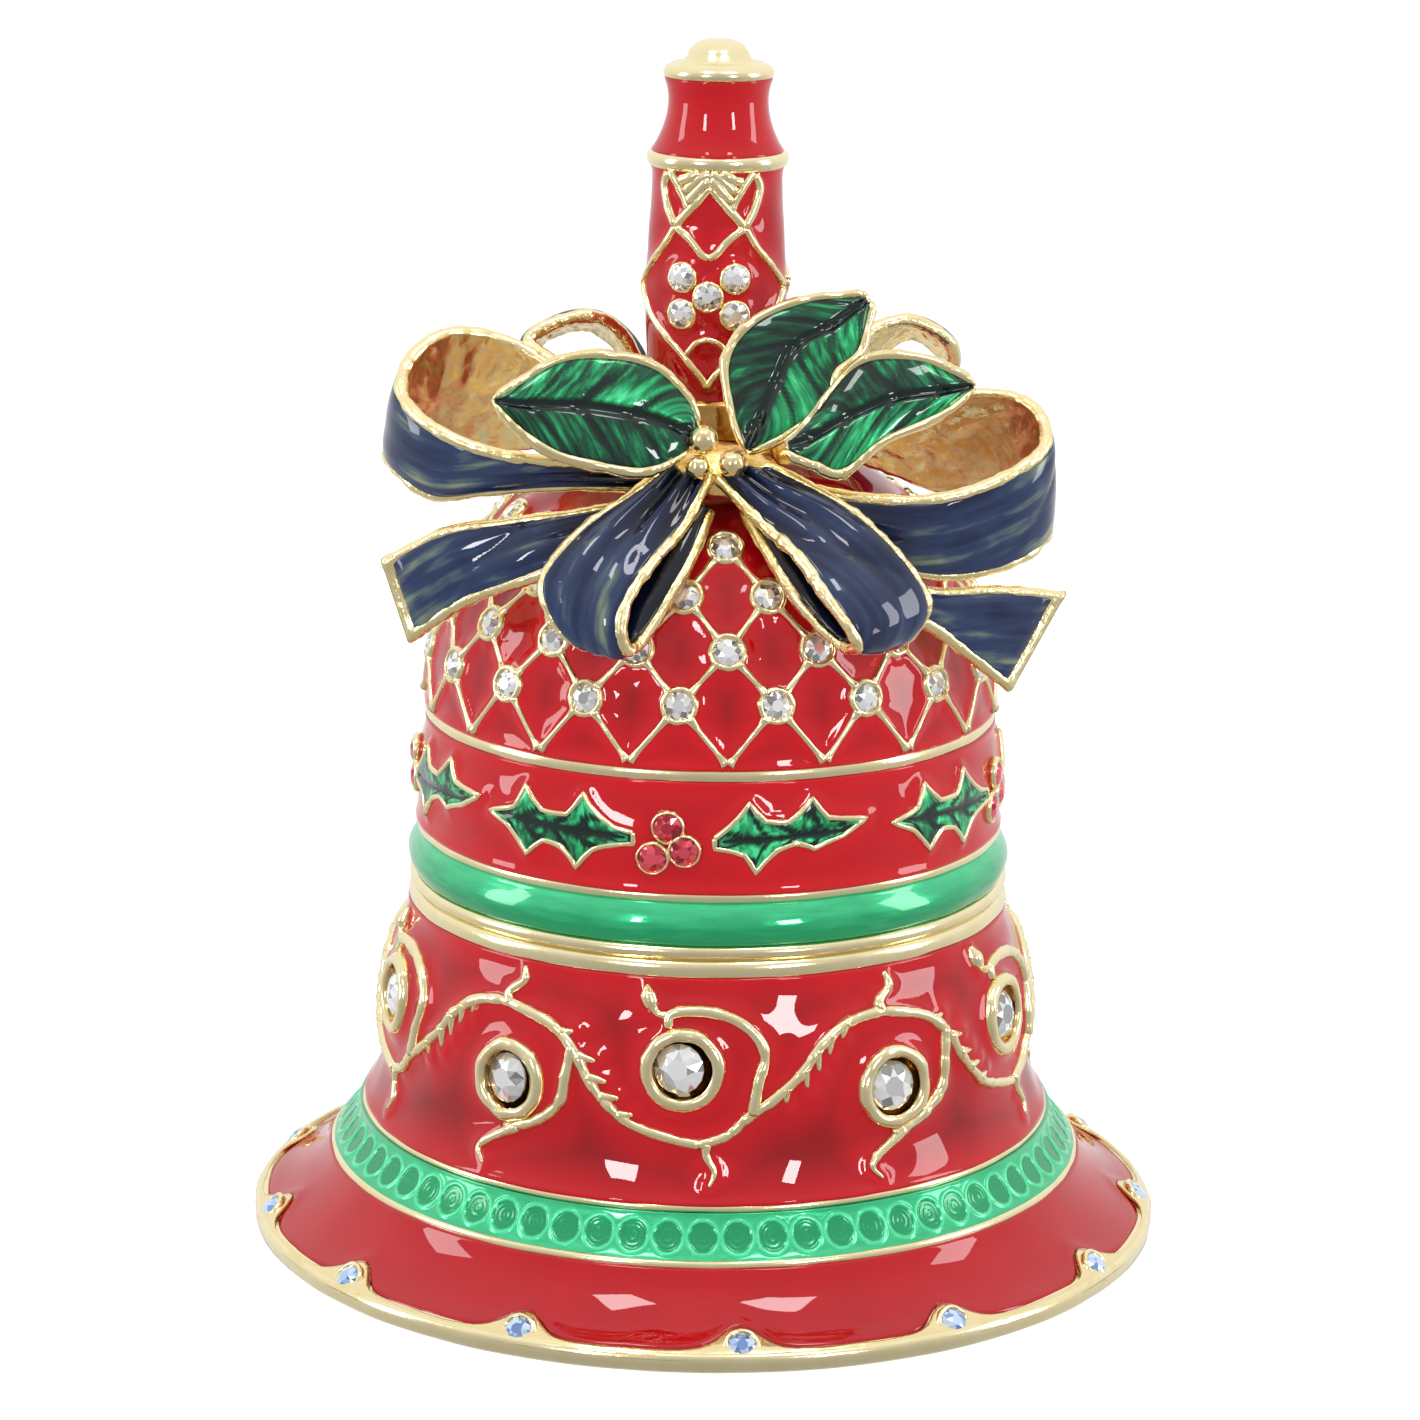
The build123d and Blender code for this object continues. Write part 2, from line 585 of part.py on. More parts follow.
# ---- bow ----------------------------------------------------------------------------------------
# Each ribbon is given by its two edges, walked from the knot outwards; loops come back to the knot.
RIBBONS = {
    "loop_left": (
        [(-3.4, -11.2, 50.2), (-8.8, -12.6, 50.5), (-12.5, -12.8, 50.9), (-16.0, -11.8, 52.0),
         (-18.4, -9.2, 53.6), (-18.2, -6.6, 55.5), (-15.9, -4.6, 56.8), (-12.2, -3.6, 56.1),
         (-8.1, -4.8, 53.8), (-3.2, -8.4, 50.9)],
        [(-3.2, -11.0, 48.2), (-9.0, -11.8, 48.4), (-13.1, -11.4, 48.0), (-16.4, -10.2, 47.4),
         (-18.9, -8.2, 48.5), (-19.6, -5.4, 49.2), (-18.2, -2.8, 49.0), (-14.6, -1.8, 48.6),
         (-9.3, -3.6, 49.5), (-3.4, -8.0, 49.6)]),
    "loop_right": (
        [(3.2, -11.2, 47.8), (8.6, -12.2, 44.8), (12.8, -11.8, 43.4), (16.7, -10.4, 43.5),
         (19.6, -8.0, 44.5), (20.2, -5.2, 45.6), (18.5, -2.8, 46.0), (13.7, -2.2, 46.8),
         (8.2, -4.0, 49.0), (3.5, -8.0, 49.4)],
        [(3.2, -11.4, 49.4), (8.6, -12.4, 48.6), (13.3, -12.2, 48.6), (17.1, -10.8, 49.6),
         (19.7, -8.6, 51.1), (19.3, -6.2, 52.9), (17.0, -4.4, 53.5), (12.9, -3.8, 52.9),
         (8.1, -5.2, 52.0), (3.2, -8.4, 50.8)]),
    "loop_front_left": (
        [(-1.6, -11.9, 49.2), (-4.6, -13.6, 48.4), (-7.9, -15.2, 46.9), (-10.0, -16.6, 44.3),
         (-9.5, -17.4, 42.2), (-8.1, -17.6, 40.7), (-6.8, -16.8, 40.5), (-6.3, -15.7, 42.8),
         (-4.3, -14.0, 45.6), (-1.4, -12.0, 47.8)],
        [(0.0, -12.0, 48.6), (-1.4, -14.6, 47.0), (-3.1, -17.0, 45.5), (-4.6, -18.9, 43.6),
         (-5.0, -19.7, 41.9), (-4.5, -19.2, 40.5), (-3.5, -17.6, 41.0), (-2.1, -16.2, 43.1),
         (-0.9, -14.4, 45.0), (0.1, -12.2, 47.2)]),
    "loop_front_right": (
        [(1.6, -12.0, 48.6), (3.2, -14.6, 47.2), (4.8, -17.0, 45.8), (6.3, -18.9, 44.1),
         (7.8, -19.9, 42.3), (8.3, -19.6, 41.0), (7.3, -18.0, 40.7), (5.6, -16.8, 41.9),
         (3.9, -15.4, 43.9), (1.6, -12.2, 47.2)],
        [(3.0, -11.9, 49.5), (5.4, -12.9, 49.4), (8.6, -14.2, 47.9), (11.3, -15.0, 45.4),
         (12.8, -15.4, 42.9), (11.9, -15.8, 41.0), (10.1, -15.6, 40.2), (9.6, -14.9, 42.6),
         (6.8, -13.8, 45.3), (3.0, -11.8, 47.9)]),
    "loop_back_left": (
        [(-3.0, -8.2, 51.4), (-8.0, -3.0, 53.4), (-11.4, 0.0, 55.2), (-9.5, 0.8, 56.6),
         (-7.1, 1.2, 56.8), (-5.4, 2.2, 55.4), (-3.7, 2.4, 52.0)],
        [(-3.4, -6.9, 50.6), (-9.0, 0.6, 52.0), (-12.0, 4.0, 53.0), (-10.5, 5.2, 54.9),
         (-7.8, 6.0, 55.4), (-5.6, 6.2, 53.8), (-3.2, 4.2, 50.8)]),
    "loop_back_right": (
        [(2.8, -8.0, 51.8), (6.3, -3.0, 54.2), (9.0, 0.2, 56.2), (11.9, 1.2, 56.9), (14.6, 1.8, 55.2),
         (14.2, 3.6, 52.8), (9.4, 5.0, 51.9), (3.7, 2.4, 51.9)],
        [(3.2, -6.7, 51.2), (7.4, 0.0, 52.8), (10.2, 4.0, 54.4), (12.2, 5.6, 55.2), (14.4, 5.8, 53.6),
         (13.8, 7.0, 51.4), (9.2, 7.8, 50.3), (3.2, 4.2, 50.7)]),
    "tail_left": (
        [(-2.6, -10.8, 48.4), (-7.3, -11.2, 47.4), (-12.0, -10.9, 46.6), (-15.9, -10.4, 45.8),
         (-19.6, -9.6, 43.7)],
        [(-2.2, -11.6, 47.3), (-6.0, -13.1, 45.2), (-10.4, -13.0, 43.3), (-14.4, -11.8, 41.5),
         (-17.9, -10.4, 38.8)]),
    "tail_right": (
        [(3.0, -13.5, 46.1), (8.0, -14.2, 43.0), (12.5, -13.1, 40.9), (15.1, -12.0, 38.8),
         (17.8, -10.6, 36.4)],
        [(3.2, -12.1, 47.3), (8.6, -12.7, 44.5), (12.9, -11.9, 43.0), (17.0, -10.2, 42.7),
         (21.1, -8.4, 42.0)]),
}

# First and last station of the enamel on each ribbon, out of 22.
ENAMEL_RUNS = {"loop_front_left": (2, 14), "loop_front_right": (2, 14), "tail_left": (4, 22),
               "tail_right": (6, 22)}

LEAVES = [
    ([(-1.4, -12.0, 52.1), (-1.5, -11.6, 53.7), (-3.5, -11.4, 55.7), (-6.3, -11.7, 56.4),
      (-9.0, -12.2, 56.2), (-11.3, -13.0, 55.0), (-12.9, -13.6, 54.1)],
     [(-1.7, -12.6, 51.5), (-2.5, -13.4, 50.5), (-4.3, -14.0, 50.0), (-6.7, -14.4, 50.4),
      (-9.2, -14.6, 51.1), (-11.3, -14.2, 52.4), (-12.9, -13.7, 53.9)]),
    ([(2.1, -11.3, 50.6), (4.6, -11.0, 51.9), (6.7, -10.4, 53.4), (7.2, -9.4, 55.1), (8.5, -8.4, 56.2),
      (9.2, -6.9, 58.9)],
     [(1.8, -11.2, 50.8), (1.0, -10.2, 53.1), (0.7, -8.8, 55.7), (2.2, -8.0, 57.8), (5.3, -7.4, 59.1),
      (8.8, -6.8, 59.4)]),
    ([(4.4, -13.3, 50.8), (6.1, -13.6, 50.3), (7.6, -13.7, 50.0), (10.0, -12.8, 51.8), (13.2, -11.4, 53.1),
      (15.2, -10.4, 54.5)],
     [(4.3, -12.4, 51.2), (6.0, -11.4, 53.2), (8.5, -10.3, 55.9), (11.6, -10.1, 56.2), (13.6, -10.2, 55.6),
      (15.2, -10.3, 54.8)]),
]
BOW_BERRIES = [(-0.6, -13.3, 51.9, 0.85), (-0.9, -13.5, 50.3, 0.72), (1.1, -13.3, 50.5, 0.8)]
KNOT = Vector(0, -9.9, 49.2)


def bow_knot():
    """Lump of solder and metal that holds the ribbons, bedded on the dome."""
    ball = Location(KNOT) * scale(Sphere(1.0), by=(4.2, 2.5, 2.3))
    return ball - Pos(0, 0, DOME_Z) * Sphere(DOME_R) - bow_berries()


def ribbon(name, knot):
    return strip(*RIBBONS[name], RIBBON, lift=-RIBBON) - knot


def ribbon_enamel(name, metal, knot):
    first, last = ENAMEL_RUNS.get(name, (2, 21))
    filling = strip(*RIBBONS[name], RIBBON_ENAMEL, edge=RIBBON_EDGE, first=first, last=last)
    return filling - metal - knot


def leaf_back(number):
    upper, lower = LEAVES[number]
    return strip(upper, lower, 0.5, count=12)


def sprig_enamel():
    fillings = []
    for upper, lower in LEAVES:
        filling = strip(upper, lower, 0.25, edge=0.3, lift=0.5, count=12, first=1, last=11)
        fillings.append(filling - strip(upper, lower, 0.5, count=12))
    return solids_of(fillings)


def bow_berries():
    return group(Pos(x, y, z) * Sphere(r) for x, y, z, r in BOW_BERRIES)


# ---- everything ---------------------------------------------------------------------------------
def make_parts():
    """Every node by name."""
    red_band, leaf_frames, leaf_fillings = holly_leaves()
    knot = bow_knot()
    parts = {
        "base_shell": base_shell(),
        "bottom_plate": bottom_plate(),
        "locating_collar": locating_collar(),
        "skirt_enamel": channel_ring(SKIRT),
        "guilloche_band_enamel": channel_ring(GUILLOCHE),
        "scroll_enamel": scroll_enamel(),
        "scroll_vine": scroll_vine(),
        "scroll_collets": scroll_collets(),
        "scroll_crystals": scroll_crystals(),
        "foot_crystals": foot_crystals(),
        "base_magnet": base_magnet(),
        "hinge_base_leaf": hinge_base_leaf(),
        "hinge_pin": hinge_pin(),
        "hinge_lid_leaf": hinge_lid_leaf(),
        "lid_shell": lid_shell(),
        "lid_magnet": lid_magnet(),
        "lid_band_enamel": channel_ring(LID_BAND),
        "holly_band_enamel": red_band,
        "holly_leaf_frames": solids_of(leaf_frames),
        "holly_leaf_enamel": solids_of(leaf_fillings),
        "berry_collets": berry_collets(),
        "berry_crystals": berry_crystals(),
        "dome_enamel": dome_enamel(),
        "lattice_wires": lattice_wires(),
        "lattice_collets": lattice_collets(),
        "lattice_crystals": lattice_crystals(),
        "handle_core": handle_core(),
        "handle_shaft_enamel": handle_shaft_enamel(),
        "handle_neck_enamel": handle_neck_enamel(),
        "handle_cap": handle_cap(),
        "handle_wires": handle_wires(),
        "handle_settings": handle_settings(),
        "handle_crystals": handle_crystals(),
        "bow_knot": knot,
        "bow_leaf_left": leaf_back(0),
        "bow_leaf_upper": leaf_back(1),
        "bow_leaf_lower": leaf_back(2),
        "bow_leaf_enamel": sprig_enamel(),
        "bow_berries": bow_berries(),
    }
    for name in RIBBONS:
        metal = ribbon(name, knot)
        parts["bow_" + name] = metal
        parts["bow_" + name + "_enamel"] = ribbon_enamel(name, metal, knot)
    return parts


if __name__ == "__main__":
    os.makedirs("parts", exist_ok=True)
    for node, shape in make_parts().items():
        export_step(shape, f"parts/{node}.step")
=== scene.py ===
"""Looks of a hinged trinket box shaped like a hand bell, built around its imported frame."""
import math
import random
from collections import namedtuple

import bmesh
import bpy
import numpy as np
from mathutils import Matrix, Vector, kdtree, noise

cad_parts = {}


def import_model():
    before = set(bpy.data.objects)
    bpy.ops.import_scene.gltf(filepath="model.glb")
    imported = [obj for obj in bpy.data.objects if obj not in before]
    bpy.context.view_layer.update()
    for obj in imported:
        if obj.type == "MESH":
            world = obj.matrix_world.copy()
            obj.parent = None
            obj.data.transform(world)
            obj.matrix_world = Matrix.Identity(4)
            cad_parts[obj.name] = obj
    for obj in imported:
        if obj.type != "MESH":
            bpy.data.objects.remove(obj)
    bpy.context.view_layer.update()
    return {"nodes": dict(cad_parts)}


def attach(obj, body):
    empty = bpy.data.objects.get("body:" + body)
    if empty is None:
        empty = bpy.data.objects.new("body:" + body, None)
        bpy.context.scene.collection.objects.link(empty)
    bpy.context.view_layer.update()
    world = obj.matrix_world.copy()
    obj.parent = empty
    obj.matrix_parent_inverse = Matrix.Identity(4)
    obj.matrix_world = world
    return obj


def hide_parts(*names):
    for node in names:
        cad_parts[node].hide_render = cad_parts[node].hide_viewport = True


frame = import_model()

MM = 0.001
SEED = 7                 # each group of stones draws its facets from SEED plus a number of its own

# ---- driving dimensions, in millimetres ----
FOOT_R = 28.3
SHUT_Z = 21.83           # the line where lid and base meet
RIM_R = 18.45
DOME_R = 17.6
DOME_Z = 33.0            # centre of the dome's sphere
ENAMEL = 0.5             # depth of the enamel channels
COLLAR_R = 17.0
INNER_R = 16.2
LID_BORE_R = 17.2
MAGNET_Y = -14.25
MAGNET_R = 1.5
MAGNET_BOSS_R = 1.9
SKIRT_TOP = 4.62
CASTING_COLUMNS = 288
CASTING_RIPPLE = 0.06

# Enamelled outlines as (radius, height).
SKIRT = [(27.3, 1.25), (26.5, 1.7), (24.8, 3.0), (23.55, 4.6)]
GUILLOCHE = [(23.3, 4.9), (22.3, 6.1), (21.6, 7.3)]
SCROLL = [(21.35, 7.7), (20.3, 10.5), (20.2, 14.0), (19.6, 17.5), (18.5, 20.75)]
LID_BAND = [(18.3, 22.7), (18.5, 23.6), (17.95, 25.2)]
HOLLY_BAND = [(18.08, 25.85), (18.05, 28.0), (17.9, 30.5), (17.5, 32.35)]
SHAFT = [(4.1, 52.4), (4.35, 58.5), (4.0, 65.0), (3.95, 66.2)]
NECK = [(3.95, 67.0), (3.3, 68.6), (3.05, 70.2), (3.2, 71.4)]

# Red enamel: heights that the sheet spans, metal lines that bound it, (columns, rows) of its mesh, its climb
# as (reach, height, sag), its unevenness as (height, scale), and its tone as (base, gain per mm, most).
Zone = namedtuple("Zone", "span lines grid climb waves tones")
SCROLL_ZONE = Zone((7.68, 20.78), (7.7, 20.75), (680, 84), (0.4, 0.2, 0.1), (0.08, 0.3), (0.1, 0.25, 0.75))
HOLLY_ZONE = Zone((25.83, 32.42), (25.85, 32.38), (560, 44), (0.35, 0.16, 0.07), (0.06, 0.3), (0, 0.2, 0.5))
DOME_ZONE = Zone((33.18, 49.6), (33.2, math.inf), (560, 120), (0.38, 0.18, 0.12), (0.05, 0.5), (0, 0.35, 0.7))
SHAFT_ZONE = Zone((52.38, 66.25), (52.4, 66.2), (240, 120), (0.3, 0.14, 0.08), (0.05, 0.5), (0, 0.3, 0.4))
NECK_ZONE = Zone((66.98, 71.42), (67.0, 71.4), (240, 40), (0.3, 0.1, 0.04), (0.04, 0.5), (0.15, 0, 1))

# Settings: outside radius, radius of the seat, depth below the surface, height of the rim, stone's radius.
Setting = namedtuple("Setting", "outside seat depth rim stone")
FOOT_SETTING = Setting(1.08, 0.84, 0.4, 0.16, 0.82)
SCROLL_SETTING = Setting(2.45, 1.82, 1.0, 0.42, 1.5)
BERRY_SETTING = Setting(1.0, 0.84, 0.4, 0.24, 0.86)
LATTICE_SETTING = Setting(1.13, 0.84, 0.45, 0.32, 0.86)
HANDLE_SETTING = Setting(0.93, 0.74, 0.5, 0.2, 0.8)

# Repeats round the bell; angles in degrees from the front, positive to the right.
FOOT_CRYSTALS = 13
FOOT_START = 4.9
FOOT_EDGE_Z = 1.28       # of the gold edge between its arches
ARCH_RISE = 0.75
ARCH_WIDTH = 3.1
LATTICE_COLUMNS = 19
LATTICE_ROWS = [36.9, 39.9, 42.8, 45.3]
LATTICE_FOOT_Z = 33.45
LATTICE_START = -6.0
LATTICE_CLEAR = 0.95     # from a stone's middle to where its wires start
GUILLOCHE_CIRCLES = 68
CLUSTERS = [-87.0, -7.3, 75.0, 174.0]
BERRY_SPOTS = [(-0.2, 29.8), (-3.0, 27.9), (2.9, 28.4)]


# ---- small geometry helpers ----
def hermite(points):
    """Smooth function value(x) through (x, value) points, as arrays or numbers."""
    xs = np.array([p[0] for p in points], float)
    ys = np.array([p[1] for p in points], float)
    slopes = np.gradient(ys, xs)

    def value(x):
        i = np.clip(np.searchsorted(xs, x) - 1, 0, len(xs) - 2)
        span = xs[i + 1] - xs[i]
        t = np.clip((x - xs[i]) / span, 0, 1)
        a, b = ys[i], ys[i + 1]
        m, n = slopes[i] * span, slopes[i + 1] * span
        return ((2 * t**3 - 3 * t**2 + 1) * a + (t**3 - 2 * t**2 + t) * m
                + (3 * t**2 - 2 * t**3) * b + (t**3 - t**2) * n)

    return value


def radius_along(outline):
    """Radius as a function of height for a (radius, height) outline."""
    return hermite([(z, r) for r, z in outline])


def polar(r, angle, z):
    """Point at a radius, height and angle in degrees from the front, positive to the right."""
    a = math.radians(angle)
    return Vector((r * math.sin(a), -r * math.cos(a), z))


def dome_radius(z):
    """Radius of the dome at a height, on its sphere."""
    return np.sqrt(np.maximum(DOME_R**2 - (z - DOME_Z) ** 2, 0.01))


scroll_radius = radius_along(SCROLL)
holly_radius = radius_along(HOLLY_BAND)
shaft_radius = radius_along(SHAFT)


def spline(points, count):
    """Evenly numbered points of a Catmull-Rom curve through points of any dimension."""
    p = np.array(points, float)
    p = np.vstack([2 * p[0] - p[1], p, 2 * p[-1] - p[-2]])
    out = []
    for u in np.linspace(0, len(points) - 1, count):
        i = min(int(u), len(points) - 2)
        t = u - i
        a, b, c, d = p[i], p[i + 1], p[i + 2], p[i + 3]
        out.append(0.5 * (2 * b + (c - a) * t + (2 * a - 5 * b + 4 * c - d) * t**2
                          + (3 * b - a - 3 * c + d) * t**3))
    return np.array(out)


def wobble(point, scale, seed=0.0):
    """Smooth noise in about -1..1 at a point in millimetres."""
    return noise.noise(Vector(point) * scale + Vector((seed, seed * 1.7, -seed)))


class Builder:
    """Collects geometry in millimetres, then makes one mesh object in metres."""

    def __init__(self, name):
        self.name = name
        self.verts = []
        self.faces = []
        self.tones = []
        self.grains = []

    def add(self, verts, faces, tones=None, grains=None):
        base = len(self.verts)
        self.verts += [tuple(v) for v in verts]
        self.faces += [[base + i for i in f] for f in faces]
        self.tones += list(tones) if tones is not None else [0.0] * len(verts)
        self.grains += list(grains) if grains is not None else [(0.0, 0.0, 0.0)] * len(verts)

    def grid(self, rows, tones=None, grains=None, wrap_u=False, wrap_v=False, caps=False):
        """Quads over rows of points; wrap_u closes the rows, wrap_v closes each row."""
        n, m = len(rows), len(rows[0])
        faces = []
        for i in range(n if wrap_u else n - 1):
            for j in range(m if wrap_v else m - 1):
                k, l = (i + 1) % n, (j + 1) % m
                faces.append([i * m + j, i * m + l, k * m + l, k * m + j])
        if caps:
            faces.append(list(range(m))[::-1])
            faces.append([(n - 1) * m + j for j in range(m)])
        self.add([p for row in rows for p in row], faces, tones, grains)

    def make(self, material, body, *replaced, smooth=True):
        """Mesh object on a body, in place of the frame's nodes that it replaces."""
        mesh = bpy.data.meshes.new(self.name)
        mesh.from_pydata([(x * MM, y * MM, z * MM) for x, y, z in self.verts], [], self.faces)
        mesh.attributes.new("tone", "FLOAT", "POINT").data.foreach_set("value", self.tones)
        flat = [c for g in self.grains for c in g]
        mesh.attributes.new("grain", "FLOAT_VECTOR", "POINT").data.foreach_set("vector", flat)
        mesh.polygons.foreach_set("use_smooth", [smooth] * len(mesh.polygons))
        mesh.materials.append(material)
        obj = bpy.data.objects.new(self.name, mesh)
        bpy.context.collection.objects.link(obj)
        outward_normals(obj)
        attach(obj, body)
        if replaced:
            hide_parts(*replaced)
        return obj


def outward_normals(obj):
    """Turn every face of a mesh to look outwards."""
    mesh = bmesh.new()
    mesh.from_mesh(obj.data)
    bmesh.ops.recalc_face_normals(mesh, faces=mesh.faces)
    mesh.to_mesh(obj.data)
    mesh.free()


# ---- shapes ----
def lathe(builder, outline, columns=256, ripple=0.0, seed=0.0, closed=True, tones=None):
    """Turned shape from (radius, height) points, with a slight hand-made ripple."""
    rows = []
    for r, z in outline:
        row = []
        for j in range(columns):
            angle = 360 * j / columns
            p = polar(r, angle, z)
            if ripple and r > 0.1:
                p += polar(ripple * wobble(p, 0.35, seed), angle, 0)
            row.append(p)
        rows.append(row)
    spread = [t for t in tones for _ in range(columns)] if tones else None
    builder.grid(rows, tones=spread, wrap_u=closed, wrap_v=True)


def bead(r, z, size, slope=0.0, steps=5):
    """Half-round bead on an outline, from below to above; slope leans it with the wall."""
    points = []
    for i in range(steps + 1):
        a = math.pi * i / steps - math.pi / 2
        points.append((r + size * math.cos(a) * 0.6 + slope * math.sin(a) * size, z + size * math.sin(a)))
    return points


def tube(builder, points, outs, radii, sides=8, flat=1.0):
    """Tube along points; outs are the surface normals; flat squashes it along them."""
    last = len(points) - 1
    turns = [2 * math.pi * k / sides for k in range(sides)]
    rows = []
    for i, (point, radius) in enumerate(zip(points, radii)):
        before, after = points[max(i - 1, 0)], points[min(i + 1, last)]
        along = (Vector(after) - Vector(before)).normalized()
        out = Vector(outs[i])
        out = (out - along * out.dot(along)).normalized()
        side = along.cross(out)
        rows.append([Vector(point) + side * (radius * math.cos(t)) + out * (radius * flat * math.sin(t))
                     for t in turns])
    builder.grid(rows, wrap_v=True, caps=True)


def wire(builder, radius_at, spots, thickness, count, rise, rough, ends, seed, swell=0.0):
    """Cast wire on a turned surface through (angle, height) spots; swell fattens it near its end."""
    points, outs, radii = [], [], []
    for i, (angle, z) in enumerate(spline(spots, count)):
        r = float(radius_at(z))
        up = float(radius_at(z + 0.05)) - r
        out = polar(1, angle, -up / 0.05).normalized()
        point = polar(r, angle, z) + out * rise
        u = i / (count - 1)
        fat = swell * math.exp(-(((u - 0.72) / 0.2) ** 2))
        size = thickness * (ends[0] + (ends[1] - ends[0]) * u + fat)
        points.append(point)
        outs.append(out)
        radii.append(size * (1 + rough * wobble(point, 2.2, seed)))
    tube(builder, points, outs, radii)
    return points


# Rings of a brilliant cut, from table to culet: radius and height in radii of the stone, corners, turn.
CUT = [(0.42, 0.36, 8, 0.0), (0.74, 0.24, 8, 0.5), (1.0, 0.04, 16, 0.0), (1.0, -0.04, 16, 0.0),
       (0.55, -0.34, 8, 0.5), (0.0, -0.55, 1, 0.0)]


def crystal(builder, point, normal, radius, rng):
    """Faceted stone; every facet gets its own tone, a painted reflection that gives it its own sparkle."""
    spin = rng.random()
    turn = normal.to_track_quat("Z", "Y").to_matrix()
    rings = []
    for out, up, count, shift in CUT:
        angles = [2 * math.pi * (k + shift) / count + spin for k in range(count)]
        r, h = out * radius, up * radius
        rings.append([point + turn @ Vector((r * math.cos(a), r * math.sin(a), h)) for a in angles])
    table, star, girdle, belt, lower, culet = rings
    facets = [table]
    for k in range(8):
        nxt, even, odd, wrap = (k + 1) % 8, 2 * k, 2 * k + 1, (2 * k + 2) % 16
        facets.append([table[k], star[k], table[nxt]])
        facets.append([table[nxt], star[k], girdle[wrap], star[nxt]])
        facets.append([star[k], girdle[even], girdle[odd]])
        facets.append([star[k], girdle[odd], girdle[wrap]])
        facets.append([belt[even], lower[k], belt[odd]])
        facets.append([belt[odd], lower[k], belt[wrap]])
        facets.append([belt[wrap], lower[k], lower[nxt]])
        facets.append([lower[k], culet[0], lower[nxt]])
    for k in range(16):
        facets.append([girdle[k], belt[k], belt[(k + 1) % 16], girdle[(k + 1) % 16]])
    for facet in facets:
        # Painted reflection: each facet gets a random brightness.
        shade = 0.12 + 0.88 * rng.random()
        builder.add(facet, [list(range(len(facet)))], tones=[shade] * len(facet))


def collet(builder, point, normal, setting, seed, segments=28):
    """Cast ring with an uneven rim round a sunken seat."""
    turn = normal.to_track_quat("Z", "Y").to_matrix()
    outside, rim = setting.outside, setting.rim
    seat = setting.seat * 0.96
    profile = [(outside * 1.02, -setting.depth), (outside * 1.04, rim * 0.2), (outside * 0.97, rim * 0.8),
               ((outside + seat) / 2, rim), (seat + 0.05, rim * 0.85), (seat, rim * 0.2),
               (seat * 0.97, -0.2 * setting.seat), (seat * 0.3, -0.23 * setting.seat)]
    rows = []
    for r, h in profile:
        row = []
        for k in range(segments):
            a = 2 * math.pi * k / segments
            unit = Vector((math.cos(a), math.sin(a), 0))
            rough = 0.05 * wobble(unit * 2 + Vector((seed, h, 0)), 1.2) * outside
            grow = rough if r > seat else 0.0
            row.append(point + turn @ (unit * (r + grow) + Vector((0, 0, h + rough * 0.6))))
        rows.append(row)
    # Painted shade: the tone darkens the gold down into the seat round the stone, and a little at the ring's
    # foot.
    tones = [t for t in (0.2, 0.1, 0.0, 0.0, 0.1, 0.55, 0.9, 1.0) for _ in range(segments)]
    builder.grid(rows, tones=tones, wrap_v=True, caps=True)


def column_angles(columns):
    """Angles in degrees of a ring's columns."""
    return np.arange(columns) * 360 / columns


def ring_sheet(name, radius_at, span, grid, shape, material, body, *replaced, depth=ENAMEL):
    """Closed ring with a worked surface: shape(points, degrees, heights) gives rise in mm, and tone.

    span is its lowest and highest height, each a number or one number per column.
    """
    columns, rows = grid
    lows, highs = np.full(columns, span[0]), np.full(columns, span[1])
    z = lows + (highs - lows) * np.linspace(0, 1, rows)[:, None]
    a = np.radians(np.broadcast_to(column_angles(columns), z.shape))
    r = radius_at(z)
    slope = (radius_at(z + 0.05) - radius_at(z - 0.05)) / 0.1
    norm = np.sqrt(1 + slope**2)
    flat = np.stack([r * np.sin(a), -r * np.cos(a), z], axis=-1).reshape(-1, 3)
    out = np.stack([np.sin(a) / norm, -np.cos(a) / norm, -slope / norm], axis=-1).reshape(-1, 3)
    rise, tone = shape(flat, np.degrees(a).reshape(-1), z.reshape(-1))
    outer = (flat + out * rise[:, None]).reshape(rows, columns, 3)
    inner = (flat - out * depth).reshape(rows, columns, 3)
    kept = np.linspace(rows - 1, 0, 3 + rows // 10).astype(int)
    stack = [*outer, *inner[kept]]
    tones = np.concatenate([tone, np.ones(len(kept) * columns)])
    builder = Builder(name)
    builder.grid([row.tolist() for row in stack], tones=tones.tolist(), wrap_u=True, wrap_v=True)
    return builder.make(material, body, *replaced)


def nearness(samples):
    """KD-tree of points, as a function distance(points)."""
    tree = kdtree.KDTree(len(samples))
    for i, p in enumerate(samples):
        tree.insert(p, i)
    tree.balance()
    return lambda points: np.array([tree.find(p)[2] for p in points])


def enamel_rise(distance, reach, climb, sag):
    """Enamel stands low in the middle of a cell and climbs to the metal at its edges."""
    return climb * np.exp(-np.maximum(distance - 0.15, 0) / reach) - sag


def wave_rise(points, amount, scale=0.22):
    """Slow unevenness of a hand-laid surface."""
    return np.array([amount * wobble(p, scale) for p in points])


def flowed_enamel(name, zone, radius_at, body, node, near=(), well=None):
    """Red enamel of a zone, which climbs to its edges and to the metal that stands in it.

    near lists that metal as (points, clearance). well is (radius, rise) of the floor round the last points.
    """
    low, high = zone.lines
    base, gain, most = zone.tones
    metal = [(nearness(samples), clearance) for samples, clearance in near]

    def shape(points, _, heights):
        gap = np.minimum(heights - low, high - heights)
        for distance, clearance in metal:
            far = distance(points)
            gap = np.minimum(gap, far - clearance)
        gap = np.clip(gap, 0, 3)
        rise = enamel_rise(gap, *zone.climb) + wave_rise(points, *zone.waves)
        if well:
            rise = np.where(far < well[0], well[1], rise)
        return rise, np.clip(base + gain * gap, 0, most)

    return ring_sheet(name, radius_at, zone.span, zone.grid, shape, RED, body, node)


